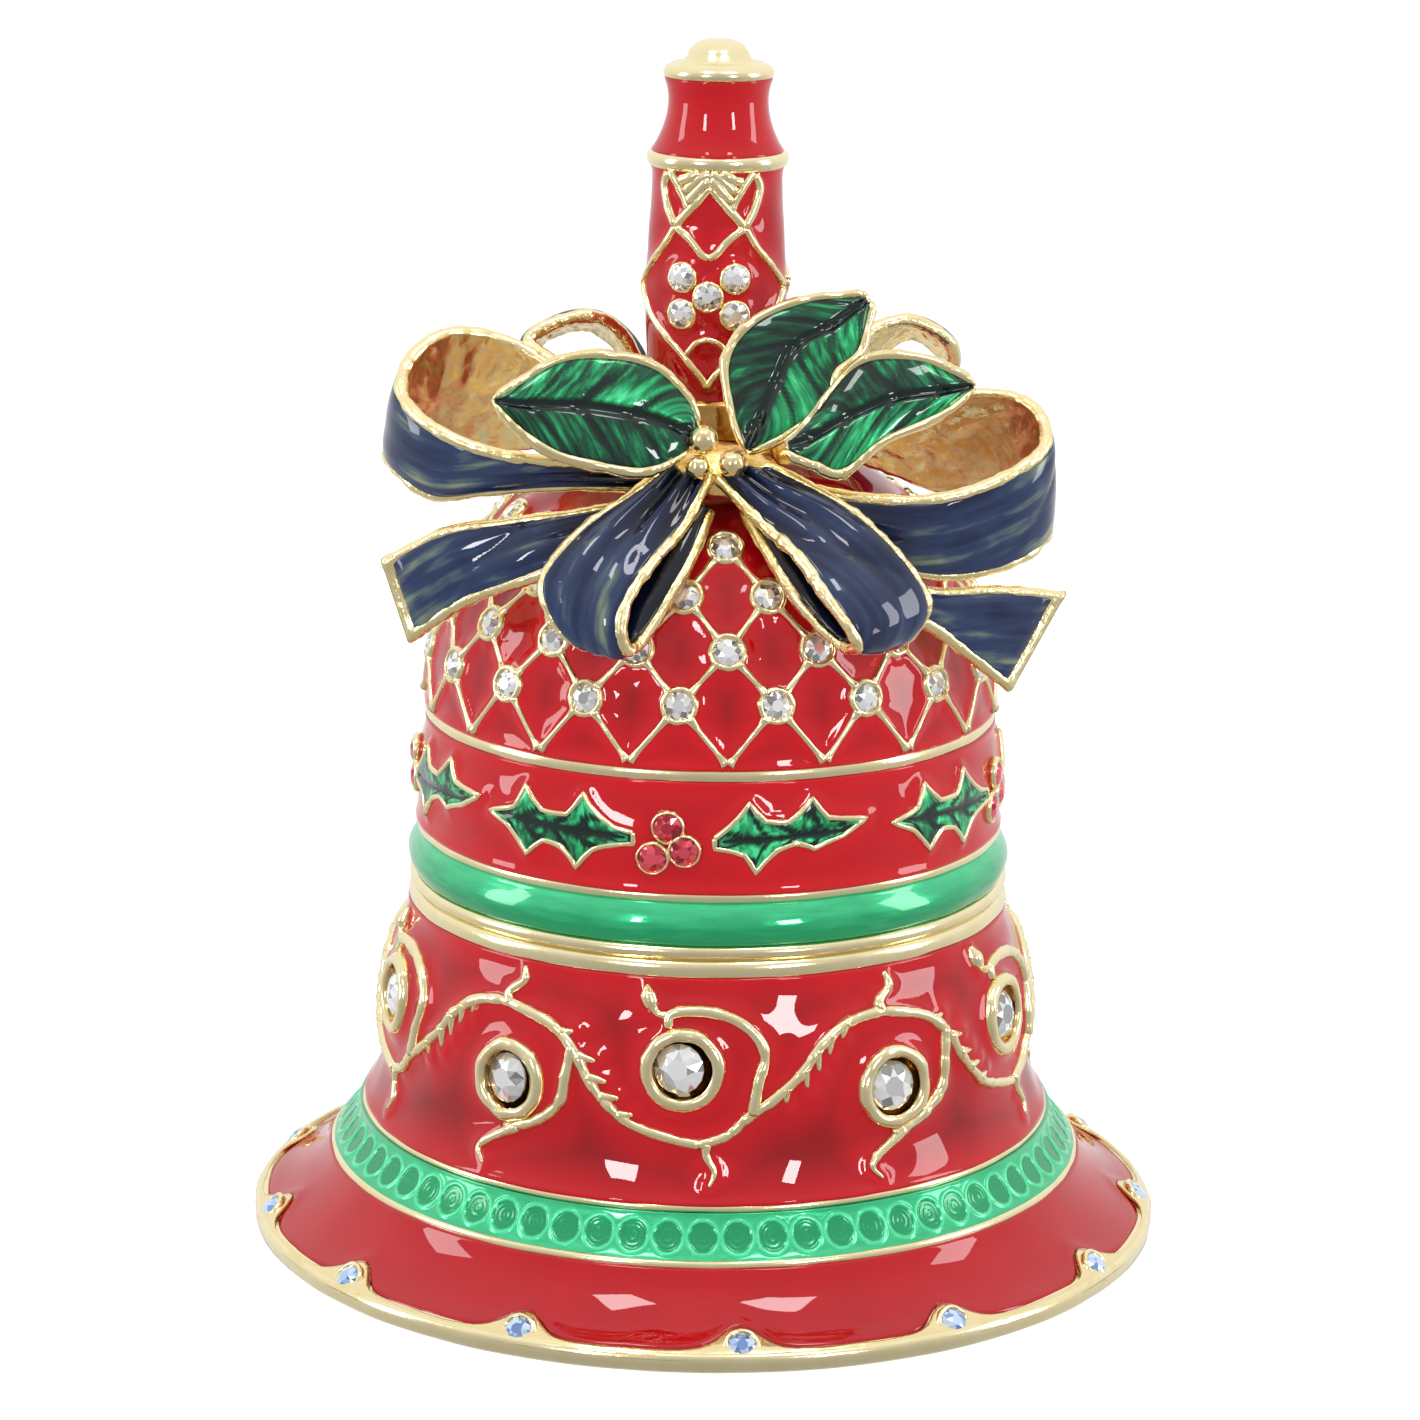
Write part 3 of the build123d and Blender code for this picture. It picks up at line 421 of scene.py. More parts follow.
# ---- materials ----
class Shader:
    """Principled material with short calls for the few textures used here.

    A keyword argument sets the socket of that name, with _ for each space.
    """

    def __init__(self, name, **sockets):
        self.material = bpy.data.materials.new(name)
        self.material.use_nodes = True
        self.tree = self.material.node_tree
        self.bsdf = self.tree.nodes["Principled BSDF"]
        for socket, value in sockets.items():
            title = socket.replace("_", " ")
            if title.startswith("Base") and len(value) == 3:
                value = (*value, 1)
            self.bsdf.inputs[title].default_value = value

    def node(self, kind, **settings):
        node = self.tree.nodes.new(kind)
        for key, value in settings.items():
            setattr(node, key, value)
        return node

    def link(self, output, target):
        self.tree.links.new(output, target)

    def attribute(self, name):
        return self.node("ShaderNodeAttribute", attribute_name=name)

    def noise(self, scale, detail=3.0, stretch=(1, 1, 1), source="object"):
        """Noise in object space (metres) or along the grain attribute (millimetres)."""
        mapping = self.node("ShaderNodeMapping")
        mapping.inputs["Scale"].default_value = stretch
        if source == "object":
            self.link(self.node("ShaderNodeTexCoord").outputs["Object"], mapping.inputs["Vector"])
        else:
            self.link(self.attribute("grain").outputs["Vector"], mapping.inputs["Vector"])
        texture = self.node("ShaderNodeTexNoise")
        texture.inputs["Scale"].default_value = scale
        texture.inputs["Detail"].default_value = detail
        self.link(mapping.outputs["Vector"], texture.inputs["Vector"])
        return texture.outputs["Fac"]

    def blend(self, a, b, share):
        """Sum of a and share times b."""
        node = self.node("ShaderNodeMath", operation="MULTIPLY_ADD")
        self.link(b, node.inputs[0])
        node.inputs[1].default_value = share
        self.link(a, node.inputs[2])
        return node.outputs[0]

    def ramp(self, source, stops, target="Base Color"):
        node = self.node("ShaderNodeValToRGB")
        elements = node.color_ramp.elements
        while len(elements) < len(stops):
            elements.new(0.5)
        for element, (place, colour) in zip(elements, stops):
            element.position = place
            element.color = (*colour, 1)
        self.link(source, node.inputs["Fac"])
        self.link(node.outputs["Color"], self.bsdf.inputs[target])

    def bump(self, source, strength, distance=0.0002):
        node = self.node("ShaderNodeBump")
        node.inputs["Strength"].default_value = strength
        node.inputs["Distance"].default_value = distance
        self.link(source, node.inputs["Height"])
        self.link(node.outputs["Normal"], self.bsdf.inputs["Normal"])
        return self


def gold_plate():
    """Pale gold, turned brassy brown by painted shade where the tone marks a recess."""
    shader = Shader("gold_plate", Metallic=1.0, Roughness=0.17)
    tint = shader.blend(shader.attribute("tone").outputs["Fac"], shader.noise(700, 4), 0.28)
    shader.ramp(tint, [(0.0, (1.0, 0.91, 0.60)), (0.3, (0.92, 0.76, 0.40)), (1.0, (0.40, 0.20, 0.05))])
    return shader.bump(shader.noise(1500, 3), 0.25, 0.00006).material


def rough_gold():
    """Cast gold left uneven, turned orange-brown by painted shade deep inside the loops."""
    shader = Shader("rough_gold", Metallic=1.0, Roughness=0.22)
    tint = shader.blend(shader.attribute("tone").outputs["Fac"], shader.noise(900, 5), 0.35)
    shader.ramp(tint, [(0.1, (1.0, 0.89, 0.56)), (0.45, (1.0, 0.80, 0.36)), (0.8, (0.86, 0.50, 0.13)),
                       (1.0, (0.40, 0.15, 0.03))])
    return shader.bump(shader.noise(1300, 6), 0.8, 0.00016).material


def red_enamel():
    """Deep red under a clear coat, darker where it lies thick."""
    shader = Shader("red_enamel", Roughness=0.3, Specular_IOR_Level=0.0, Coat_Weight=1.0,
                    Coat_Roughness=0.02, Coat_IOR=1.5)
    tint = shader.blend(shader.attribute("tone").outputs["Fac"], shader.noise(220, 3), 0.4)
    shader.ramp(tint, [(0.15, (0.47, 0.003, 0.008)), (0.5, (0.38, 0.0015, 0.006)),
                       (1.0, (0.20, 0.0008, 0.003))])
    return shader.material


def green_enamel(name, shine, deep, bright, metal=0.3, streaks=(1, 1, 6)):
    """Translucent green over worked metal."""
    shader = Shader(name, Metallic=metal, Roughness=shine, Specular_IOR_Level=0.0, Coat_Weight=1.0,
                    Coat_Roughness=0.03)
    grain = shader.noise(420, 4, streaks)
    tint = shader.blend(shader.attribute("tone").outputs["Fac"], grain, 0.4)
    shader.ramp(tint, [(0.1, bright), (0.75, deep)])
    return shader.bump(grain, 0.35, 0.00012).material


def leaf_enamel():
    """Emerald over a brushed ground, nearly black along the veins and in broad patches."""
    shader = Shader("leaf_enamel", Metallic=0.35, Roughness=0.25, Specular_IOR_Level=0.0, Coat_Weight=1.0,
                    Coat_Roughness=0.03)
    streak = shader.noise(1.0, 4, (2.2, 0.55, 1.0), source="grain")
    patch = shader.noise(260, 2)
    tint = shader.blend(shader.blend(shader.attribute("tone").outputs["Fac"], streak, 0.75), patch, 0.55)
    shader.ramp(tint, [(0.48, (0.07, 0.66, 0.29)), (0.6, (0.014, 0.32, 0.11)), (0.74, (0.003, 0.07, 0.03)),
                       (0.9, (0.002, 0.012, 0.009))])
    return shader.bump(streak, 0.5, 0.00015).material


def navy_enamel():
    """Dark blue with pearly streaks that run along each ribbon."""
    shader = Shader("navy_enamel", Roughness=0.28, Metallic=0.15, Specular_IOR_Level=0.0, Coat_Weight=1.0,
                    Coat_Roughness=0.025)
    streak = shader.noise(1.0, 4, (0.16, 1.15, 1.0), source="grain")
    patch = shader.noise(190, 3)
    pearl = shader.blend(streak, patch, 0.9)
    tint = shader.blend(shader.attribute("tone").outputs["Fac"], pearl, -1.0)
    shifted = shader.node("ShaderNodeMath", operation="ADD")
    shader.link(tint, shifted.inputs[0])
    shifted.inputs[1].default_value = 1.25
    shader.ramp(shifted.outputs[0],
                [(0.05, (0.22, 0.25, 0.14)), (0.18, (0.07, 0.10, 0.11)), (0.28, (0.020, 0.036, 0.09)),
                 (0.55, (0.007, 0.013, 0.045)), (0.95, (0.002, 0.003, 0.009))])
    return shader.bump(pearl, 0.3, 0.00012).material


def crystal_material(name, dark, middle, bright):
    """Cut stone that reflects the room, with each facet's tone a painted reflection that picks how bright a
    part of the room it shows.
    """
    shader = Shader(name, Metallic=0.75, Roughness=0.06, Coat_Weight=1.0, Coat_Roughness=0.0)
    shader.ramp(shader.attribute("tone").outputs["Fac"],
                [(0.0, dark), (0.3, middle), (0.62, bright), (1.0, bright)])
    return shader.material


def metal(name, colour, roughness):
    """Plain metal of one colour."""
    return Shader(name, Base_Color=colour, Metallic=1.0, Roughness=roughness).material


GOLD = gold_plate()
ROUGH_GOLD = rough_gold()
RED = red_enamel()
GREEN = green_enamel("green_enamel", 0.22, (0.006, 0.27, 0.10), (0.085, 0.74, 0.35))
LEAF_GREEN = leaf_enamel()
NAVY = navy_enamel()
CLEAR = crystal_material("clear_crystal", (0.06, 0.055, 0.05), (0.5, 0.5, 0.5), (0.98, 0.98, 1.0))
BLUE = crystal_material("pale_blue_crystal", (0.03, 0.06, 0.16), (0.22, 0.36, 0.72), (0.62, 0.75, 0.97))
RUBY = crystal_material("red_crystal", (0.06, 0.001, 0.004), (0.45, 0.004, 0.02), (0.9, 0.10, 0.14))
MAGNET = metal("magnet", (0.55, 0.55, 0.56), 0.3)
STEEL = metal("pin_steel", (0.62, 0.60, 0.55), 0.25)


# ---- base ----
def channel(outline):
    """The outline sunk to the bottom of its channel."""
    return [(r - ENAMEL * 0.8, z) for r, z in outline]


def base_metal():
    """Gold shell of the base with its raised lines, as one closed turned shape."""
    builder = Builder("base_metal")
    outside = [(24.0, 0.0), (FOOT_R - 0.15, 0.0), (FOOT_R, 0.15), (FOOT_R + 0.02, 0.9), (28.1, 1.15),
               (27.3, 1.2), (26.4, 1.35)]
    outside += channel(SKIRT[1:3]) + [(23.15, 4.45)] + bead(23.35, 4.75, 0.24, -0.2) + [(22.9, 5.0)]
    outside += channel(GUILLOCHE[1:]) + bead(21.38, 7.52, 0.22, -0.2) + [(20.85, 7.8)]
    outside += channel(SCROLL[1:4]) + [(18.2, 20.7), (18.55, 20.78)]
    outside += [(RIM_R + 0.16, 20.95), (RIM_R + 0.1, 21.35), (RIM_R + 0.02, SHUT_Z - 0.1), (17.7, SHUT_Z)]
    inside = [(COLLAR_R, SHUT_Z), (COLLAR_R, 19.5), (INNER_R, 19.5), (INNER_R, 18.4), (18.0, 16.6),
              (18.2, 9.0), (22.5, 2.6), (22.5, 1.8), (24.0, 1.8)]
    lathe(builder, outside + inside, CASTING_COLUMNS, ripple=CASTING_RIPPLE)
    magnet_boss(builder, (17.2, SHUT_Z - 0.13), (17.2, 19.5), -17.4)
    builder.make(GOLD, "base", "base_shell")


def magnet_boss(builder, cup_span, web_span, wall_y):
    """Cup round a magnet, and a web from it to the wall; the spans are lowest and highest heights."""
    low, high = cup_span
    turns = [2 * math.pi * k / 32 for k in range(32)]
    rows = []
    for r, z in [(MAGNET_R, low + 0.3), (MAGNET_R, high), (MAGNET_BOSS_R, high), (MAGNET_BOSS_R, low),
                 (MAGNET_R, low)]:
        rows.append([Vector((r * math.cos(t), MAGNET_Y + r * math.sin(t), z)) for t in turns])
    builder.grid(rows, wrap_u=True, wrap_v=True)
    x = MAGNET_BOSS_R * 0.8
    cup_y = MAGNET_Y - MAGNET_BOSS_R * 0.7
    corners = [(side * x, y, z) for side in (-1, 1) for y in (wall_y, cup_y) for z in web_span]
    faces = [[0, 1, 3, 2], [4, 6, 7, 5], [0, 4, 5, 1], [2, 3, 7, 6], [0, 2, 6, 4], [1, 5, 7, 3]]
    builder.add(corners, faces)


def foot_scallop(angles):
    """Height of the gold edge above the foot, which rises at each small crystal."""
    pitch = 360 / FOOT_CRYSTALS
    off = (angles - FOOT_START + pitch / 2) % pitch - pitch / 2
    arch = ARCH_RISE * np.exp(-((off / ARCH_WIDTH) ** 2))
    return FOOT_EDGE_Z + arch + 0.07 * np.cos(np.radians(off * 17))


def foot_edge():
    """Scalloped gold edge that laps over the enamel of the skirt."""
    columns = 28 * FOOT_CRYSTALS
    profile = hermite([(0.6, 28.3), (1.0, 28.12), (1.3, 27.75), (1.7, 26.9), (2.3, 25.9), (2.8, 25.2)])

    def shape(points, *_):
        return 0.07 + wave_rise(points, 0.03, 1.2), np.full(len(points), 0.12)

    span = (0.75, foot_scallop(column_angles(columns)))
    ring_sheet("foot_edge", profile, span, (columns, 9), shape, GOLD, "base", depth=0.35)


def skirt():
    """Red enamel from the scalloped edge up to the first gold line."""
    columns = 600
    profile = hermite([(0.9, 28.0), (1.2, 27.4), (1.7, 26.5), (3.0, 24.8), (4.6, 23.5)])

    def shape(points, degrees, heights):
        edge = np.minimum(heights - foot_scallop(degrees), SKIRT_TOP - heights)
        rise = enamel_rise(np.maximum(edge, 0), 0.3, 0.1, 0.03) + wave_rise(points, 0.05)
        return rise, np.full(len(points), 0.25)

    span = (foot_scallop(column_angles(columns)) - 0.12, SKIRT_TOP)
    ring_sheet("skirt_glass", profile, span, (columns, 22), shape, RED, "base", "skirt_enamel")


def foot_stones():
    """Small pale blue stones, each under its own arch of the gold edge."""
    rng = random.Random(SEED)
    stones, rings = Builder("foot_stones"), Builder("foot_seats")
    for i in range(FOOT_CRYSTALS):
        angle = FOOT_START + i * 360 / FOOT_CRYSTALS
        normal = polar(1, angle, 0.9).normalized()
        point = polar(27.45, angle, 1.3)
        crystal(stones, point + normal * 0.16, normal, FOOT_SETTING.stone, rng)
        collet(rings, point + normal * 0.1, normal, FOOT_SETTING, i)
    rings.make(GOLD, "base")
    stones.make(BLUE, "base", "foot_crystals", smooth=False)


def guilloche():
    """Green band over an engine-turned row of ringed circles."""
    low, high = 4.9, 7.3
    middle_r, middle_z = GUILLOCHE[1]
    pitch = 360 / GUILLOCHE_CIRCLES
    disc_r, ring_r, ripple_pitch = 0.85, 0.93, 0.3

    def shape(_, degrees, heights):
        local = (degrees + pitch / 2) % pitch - pitch / 2
        across = local * math.radians(1) * middle_r
        up = (heights - middle_z) * 1.1
        far = np.sqrt(across**2 + up**2)
        rim = np.exp(-((far - ring_r) / 0.1) ** 2)
        ripple = np.where(far < disc_r, np.cos(far * 2 * math.pi / ripple_pitch), 0)
        edge = np.minimum(heights - low, high - heights)
        rise = 0.09 * rim + 0.015 * ripple - 0.02
        rise += 0.12 * np.exp(-np.maximum(edge, 0) / 0.15)
        return rise, np.where(far < disc_r, 0.62 + 0.1 * ripple, 0.3) - 0.35 * rim

    ring_sheet("guilloche_glass", radius_along(GUILLOCHE), (4.88, 7.32), (1700, 30), shape, GREEN, "base",
               "guilloche_band_enamel")


# Angle at which each repeat of the scroll starts. A repeat is drawn over 72 degrees as (angle, height) from
# its high setting, and stretched to its own width.
SCROLL_STARTS = [-72.7, -3.8, 65.1, 139.2, 213.2]
SCROLL_REPEAT = 72
SCROLL_SETTINGS = [(0.0, 15.6), (39.3, 13.75)]
SCROLL_STEM = [(3.0, 11.1), (8.0, 11.7), (11.5, 12.8), (15.7, 13.75), (21.0, 15.25), (24.8, 16.75),
               (29.5, 17.8), (34.6, 18.2), (39.5, 18.15), (47.6, 17.44), (52.7, 16.0), (55.2, 14.65),
               (58.8, 13.3), (63.0, 12.2), (69.9, 11.45), (75.0, 11.1)]
HIGH_CURL = [(12.3, 13.0), (13.3, 14.9), (14.5, 16.25), (13.4, 17.4), (9.6, 18.45), (4.0, 18.95),
             (-2.0, 18.8), (-2.8, 18.0)]
HIGH_TAIL = [(-1.6, 18.7), (-4.6, 18.75), (-6.3, 19.4), (-7.2, 20.3)]
HIGH_ROOT = [(4.4, 11.2), (4.4, 10.4), (5.8, 9.5), (4.9, 8.7)]
LOW_CURL = [(51.8, 16.4), (51.0, 14.8), (49.8, 12.9), (44.9, 11.5), (39.0, 10.8)]
LOW_TAIL = [(41.5, 11.0), (34.2, 9.4), (35.6, 8.4)]
PEAK_TAIL = [(38.0, 18.2), (37.2, 18.8), (40.1, 19.6), (39.5, 20.4)]


def scroll_spot(turn, angle, z):
    """Where a spot of the drawn repeat lies in a given repeat."""
    starts = SCROLL_STARTS + [SCROLL_STARTS[0] + 360]
    return (starts[turn] + angle * (starts[turn + 1] - starts[turn]) / SCROLL_REPEAT, z)


# Wires of a repeat: spots, thickness, steps, (first, last) thickness in shares of it, swelling.
SCROLL_WIRES = [
    (SCROLL_STEM, 0.36, 110, (1, 1), 0),
    (HIGH_CURL, 0.34, 50, (1.2, 0.9), 0.2),
    (LOW_CURL, 0.34, 36, (1.2, 1.0), 0.2),
    (HIGH_TAIL, 0.26, 20, (1.0, 0.6), 1.4),
    (HIGH_ROOT, 0.26, 18, (1.5, 0.4), 0),
    (LOW_TAIL, 0.27, 18, (1.6, 0.35), 0),
    (PEAK_TAIL, 0.27, 18, (1.5, 0.6), 0.2),
]


# Serrated flanks of the stem: first and last angle along it, and which side the teeth stand on.
TOOTHED = [(16.5, 33.0, -1), (46.0, 64.0, 1)]
TEETH = 5
MM_PER_DEGREE = 0.35     # round the wall of the scroll zone


def teeth(builder, turn, start, end, side):
    """Row of short curved points that fringe one side of the stem."""
    stem = spline([scroll_spot(turn, *spot) for spot in SCROLL_STEM], 160)
    low, high = scroll_spot(turn, start, 0)[0], scroll_spot(turn, end, 0)[0]
    run = [p for p in stem if low <= p[0] <= high]
    points = []
    for k in range(TEETH):
        share = (k + 0.5) / TEETH
        i = int(share * (len(run) - 2))
        root = run[i]
        along = np.array([(run[i + 1][0] - root[0]) * MM_PER_DEGREE, run[i + 1][1] - root[1]])
        along = along / np.linalg.norm(along)
        across = np.array([-along[1], along[0]]) * side
        size = 0.55 + 0.35 * math.sin(math.pi * share)
        tip = across * size + along * size * 0.9 * side
        bend = np.array([tip[0] * 0.5 / MM_PER_DEGREE, tip[1] * 0.35])
        spots = [root, root + bend, root + np.array([tip[0] / MM_PER_DEGREE, tip[1]])]
        points += wire(builder, scroll_radius, spots, 0.36, 8, 0.08, 0.15, (1.25, 0.3), k)
    return points


def scroll_zone():
    """Vine, settings, crystals and red enamel of the tall zone of the base."""
    vine, rings, stones = Builder("scroll_vine_metal"), Builder("scroll_settings"), Builder("scroll_stones")
    rng = random.Random(SEED + 1)
    vine_points, ring_centres = [], []
    for turn in range(len(SCROLL_STARTS)):
        for spots, size, count, ends, swell in SCROLL_WIRES:
            placed = [scroll_spot(turn, *spot) for spot in spots]
            vine_points += wire(vine, scroll_radius, placed, size, count, 0.1, 0.24, ends, turn, swell)
        for flank in TOOTHED:
            vine_points += teeth(vine, turn, *flank)
        for spot in SCROLL_SETTINGS:
            angle, z = scroll_spot(turn, *spot)
            normal = polar(1, angle, 0.1).normalized()
            point = polar(float(scroll_radius(z)), angle, z)
            ring_centres.append(point)
            collet(rings, point, normal, SCROLL_SETTING, angle, segments=56)
            tilt = (normal + polar(0.14, angle - 90, 0.06)).normalized()
            seat = point - normal * 0.12 + polar(0.2, angle - 90, 0.05)
            crystal(stones, seat, tilt, SCROLL_SETTING.stone, rng)
    flowed_enamel("scroll_glass", SCROLL_ZONE, scroll_radius, "base", "scroll_enamel",
                  [(vine_points, 0.3), (ring_centres, 2.5)], well=(2.15, -0.48))
    vine.make(GOLD, "base", "scroll_vine")
    rings.make(GOLD, "base", "scroll_collets")
    stones.make(CLEAR, "base", "scroll_crystals", smooth=False)


# ---- lid ----
def lid_metal():
    """Gold shell of the lid with its raised lines and the round ring below the dome."""
    builder = Builder("lid_metal")
    outside = [(LID_BORE_R, SHUT_Z), (17.7, SHUT_Z), (RIM_R + 0.02, SHUT_Z + 0.1), (RIM_R + 0.12, 22.2),
               (RIM_R + 0.06, 22.55), (18.2, 22.68)]
    outside += channel(LID_BAND) + [(17.8, 25.22)] + bead(17.95, 25.52, 0.3, 0.0) + [(17.7, 25.85)]
    outside += channel(HOLLY_BAND) + [(17.2, 32.4)] + bead(17.35, 32.8, 0.42, -0.1, 8) + [(17.15, 33.25)]
    outside += [(float(dome_radius(z)) - 0.42, z) for z in (34.5, 37, 40, 43, 45.5, 47.5, 49)]
    outside += [(5.0, 49.5), (2.5, 49.5)]
    inside = [(INNER_R * math.cos(t), DOME_Z + INNER_R * math.sin(t))
              for t in [math.radians(a) for a in (81, 75, 66, 56, 46, 36, 26, 16, 8, 0)]]
    inside += [(INNER_R, 23.5), (LID_BORE_R, 23.5)]
    lathe(builder, outside + inside, CASTING_COLUMNS, ripple=CASTING_RIPPLE, seed=3)
    magnet_boss(builder, (SHUT_Z + 0.12, 26.0), (23.6, 26.0), -16.8)
    builder.make(GOLD, "lid", "lid_shell")


def lid_band():
    """Plain crowned green band above the shut line."""
    low, height = 22.7, 2.5

    def shape(points, _, heights):
        v = np.clip((heights - low) / height, 0, 1)
        rise = 0.16 * np.sin(math.pi * v) ** 0.8 - 0.02 + wave_rise(points, 0.05, 0.4)
        return rise, 0.7 - 0.5 * v

    ring_sheet("lid_band_glass", radius_along(LID_BAND), (22.68, 25.24), (420, 16), shape, GREEN, "lid",
               "lid_band_enamel")


# Spiny leaves to either side of a holly cluster, as (angle, height) going round.
LEAF_LEFT = [(-6.7, 29.35), (-10.5, 29.6), (-14.0, 30.3), (-16.9, 31.35), (-20.0, 30.0), (-25.5, 30.0),
             (-29.6, 31.25), (-31.8, 29.9), (-38.2, 29.3), (-33.0, 28.6), (-28.7, 27.2), (-25.0, 28.2),
             (-21.0, 28.0), (-17.8, 26.9), (-14.5, 28.1), (-10.5, 28.5), (-6.7, 28.7)]
LEAF_RIGHT = [(8.5, 29.2), (11.5, 30.0), (14.9, 31.25), (18.0, 30.2), (22.5, 30.1), (27.1, 31.4),
              (30.0, 30.2), (38.1, 29.9), (33.0, 29.0), (27.2, 28.4), (24.0, 28.8), (20.0, 28.4),
              (16.1, 27.1), (14.0, 28.2), (8.5, 28.6)]
LEAF_RIB_Z = 29.0        # where the midrib starts
LEAF_STEPS = 7           # from the midrib to the edge


def edge_polyline(corners, per_side):
    """Points along a closed outline whose sides sag inwards a little, with sharp corners."""
    pts = np.array(corners, float)
    middle = pts.mean(axis=0)
    out = []
    for a, b in zip(pts, np.roll(pts, -1, axis=0)):
        for k in range(per_side):
            t = k / per_side
            sag = 0.06 * math.sin(math.pi * t)
            out.append((a + (b - a) * t) * (1 - sag) + np.array([a[0] + (b[0] - a[0]) * t, middle[1]]) * sag)
    return out


def holly_leaf(frames, fillings, cluster, corners, seed):
    """One leaf: gold outline, and green filling with a dark midrib and side veins."""
    edge = edge_polyline(corners, 6)
    angles = [a for a, _ in edge]
    near, far = min(angles, key=abs), max(angles, key=abs)
    points, outs, radii = [], [], []
    for a, z in [*edge, edge[0]]:
        point = polar(float(holly_radius(z)) + 0.12, cluster + a, z)
        points.append(point)
        outs.append(polar(1, cluster + a, 0))
        radii.append(0.19 * (1 + 0.2 * wobble(point, 2.0, seed)))
    tube(frames, points, outs, radii, 7)
    rows, tones, grains = [], [], []
    for a, z in edge:
        share = min(max((a - near) / (far - near), 0.06), 0.92)
        rib_a = near + (far - near) * share
        rib_z = LEAF_RIB_Z + 0.35 * (rib_a - near) / (far - near)
        row = []
        for t in [k / (LEAF_STEPS - 1) for k in range(LEAF_STEPS)]:
            angle, height = rib_a + (a - rib_a) * t, rib_z + (z - rib_z) * t
            swell = 0.10 + 0.14 * math.sin(math.pi * t * 0.8)
            row.append(polar(float(holly_radius(height)) + swell, cluster + angle, height))
            vein = abs((share * 5.5 + 0.9 * t) % 1 - 0.5) * 2
            tones.append(max(0.6 * (1 - t * 4.5), 0.35 * (vein > 0.8), -0.08))
            grains.append((share * 9.0, t * 3.0, seed * 5.0))
        rows.append(row)
    fillings.grid(rows, tones=tones, grains=grains, wrap_u=True)
    return points


def holly_band():
    """Red band with its leaves and clusters of three red stones."""
    frames, fillings = Builder("holly_frames"), Builder("holly_green")
    rings, stones = Builder("berry_settings"), Builder("berry_stones")
    rng = random.Random(SEED + 2)
    metal_points = []
    for n, cluster in enumerate(CLUSTERS):
        for corners in (LEAF_LEFT, LEAF_RIGHT):
            metal_points += holly_leaf(frames, fillings, cluster, corners, n)
        for angle, z in BERRY_SPOTS:
            normal = polar(1, cluster + angle, 0)
            point = polar(18.1, cluster + angle, z)
            metal_points.append(point)
            collet(rings, point, normal, BERRY_SETTING, angle)
            crystal(stones, point + normal * 0.1, normal, BERRY_SETTING.stone, rng)
    flowed_enamel("holly_glass", HOLLY_ZONE, holly_radius, "lid", "holly_band_enamel", [(metal_points, 0.2)])
    frames.make(GOLD, "lid", "holly_leaf_frames")
    fillings.make(LEAF_GREEN, "lid", "holly_leaf_enamel")
    rings.make(GOLD, "lid", "berry_collets")
    stones.make(RUBY, "lid", "berry_crystals", smooth=False)


def lattice_spot(row, column):
    """Angle and height of a stone; every other row is shifted by half a column."""
    pitch = 360 / LATTICE_COLUMNS
    return (LATTICE_START + (column + 0.5 * (row % 2)) * pitch, LATTICE_ROWS[row])


def on_dome(angle, z):
    """Point on the dome and the way out of it there."""
    point = polar(float(dome_radius(z)), angle, z)
    return point, (point - Vector((0, 0, DOME_Z))).normalized()


def dome_wire(builder, start, end, clear_start, clear_end, seed):
    """Cast wire over the dome that flares into what it meets at each end."""
    centre = Vector((0, 0, DOME_Z))
    length = (end - start).length
    steps = 18
    points, outs, radii = [], [], []
    for i in range(steps):
        d = clear_start + (length - clear_start - clear_end) * i / (steps - 1)
        out = (start + (end - start) * (d / length) - centre).normalized()
        point = centre + out * (DOME_R + 0.05)
        flare = 0.24 * (math.exp(-(d - clear_start) / 0.35) + math.exp(-(length - clear_end - d) / 0.35))
        points.append(point)
        outs.append(out)
        radii.append((0.165 + flare) * (1 + 0.2 * wobble(point, 1.6, seed)))
    tube(builder, points, outs, radii, flat=0.85)
    return points


def lattice_wires(builder, column):
    """The wires that go down from one column's stones, and up from them to the next row."""
    half = 180 / LATTICE_COLUMNS
    points = []
    for side in (-half, half):
        angle, z = lattice_spot(0, column)
        start, _ = on_dome(angle, z)
        foot, _ = on_dome(angle + side, LATTICE_FOOT_Z)
        points += dome_wire(builder, start, foot, LATTICE_CLEAR, 0.15, column)
        for row, next_z in enumerate(LATTICE_ROWS[1:]):
            angle, z = lattice_spot(row, column)
            end, _ = on_dome(angle + side, next_z)
            start, _ = on_dome(angle, z)
            points += dome_wire(builder, start, end, LATTICE_CLEAR, LATTICE_CLEAR, column + row)
    return points


def dome():
    """Red dome under a lattice of wires with a stone at every crossing."""
    wires, rings, stones = Builder("lattice_metal"), Builder("lattice_settings"), Builder("lattice_stones")
    rng = random.Random(SEED + 3)
    wire_points, ring_centres = [], []
    for column in range(LATTICE_COLUMNS):
        wire_points += lattice_wires(wires, column)
        for row in range(len(LATTICE_ROWS)):
            point, out = on_dome(*lattice_spot(row, column))
            ring_centres.append(point)
            collet(rings, point, out, LATTICE_SETTING, 7 * column + row)
            crystal(stones, point + out * 0.12, out, LATTICE_SETTING.stone, rng)
    flowed_enamel("dome_glass", DOME_ZONE, dome_radius, "lid", "dome_enamel",
                  [(wire_points, 0.2), (ring_centres, 1.15)])
    wires.make(GOLD, "lid", "lattice_wires")
    rings.make(GOLD, "lid", "lattice_collets")
    stones.make(CLEAR, "lid", "lattice_crystals", smooth=False)


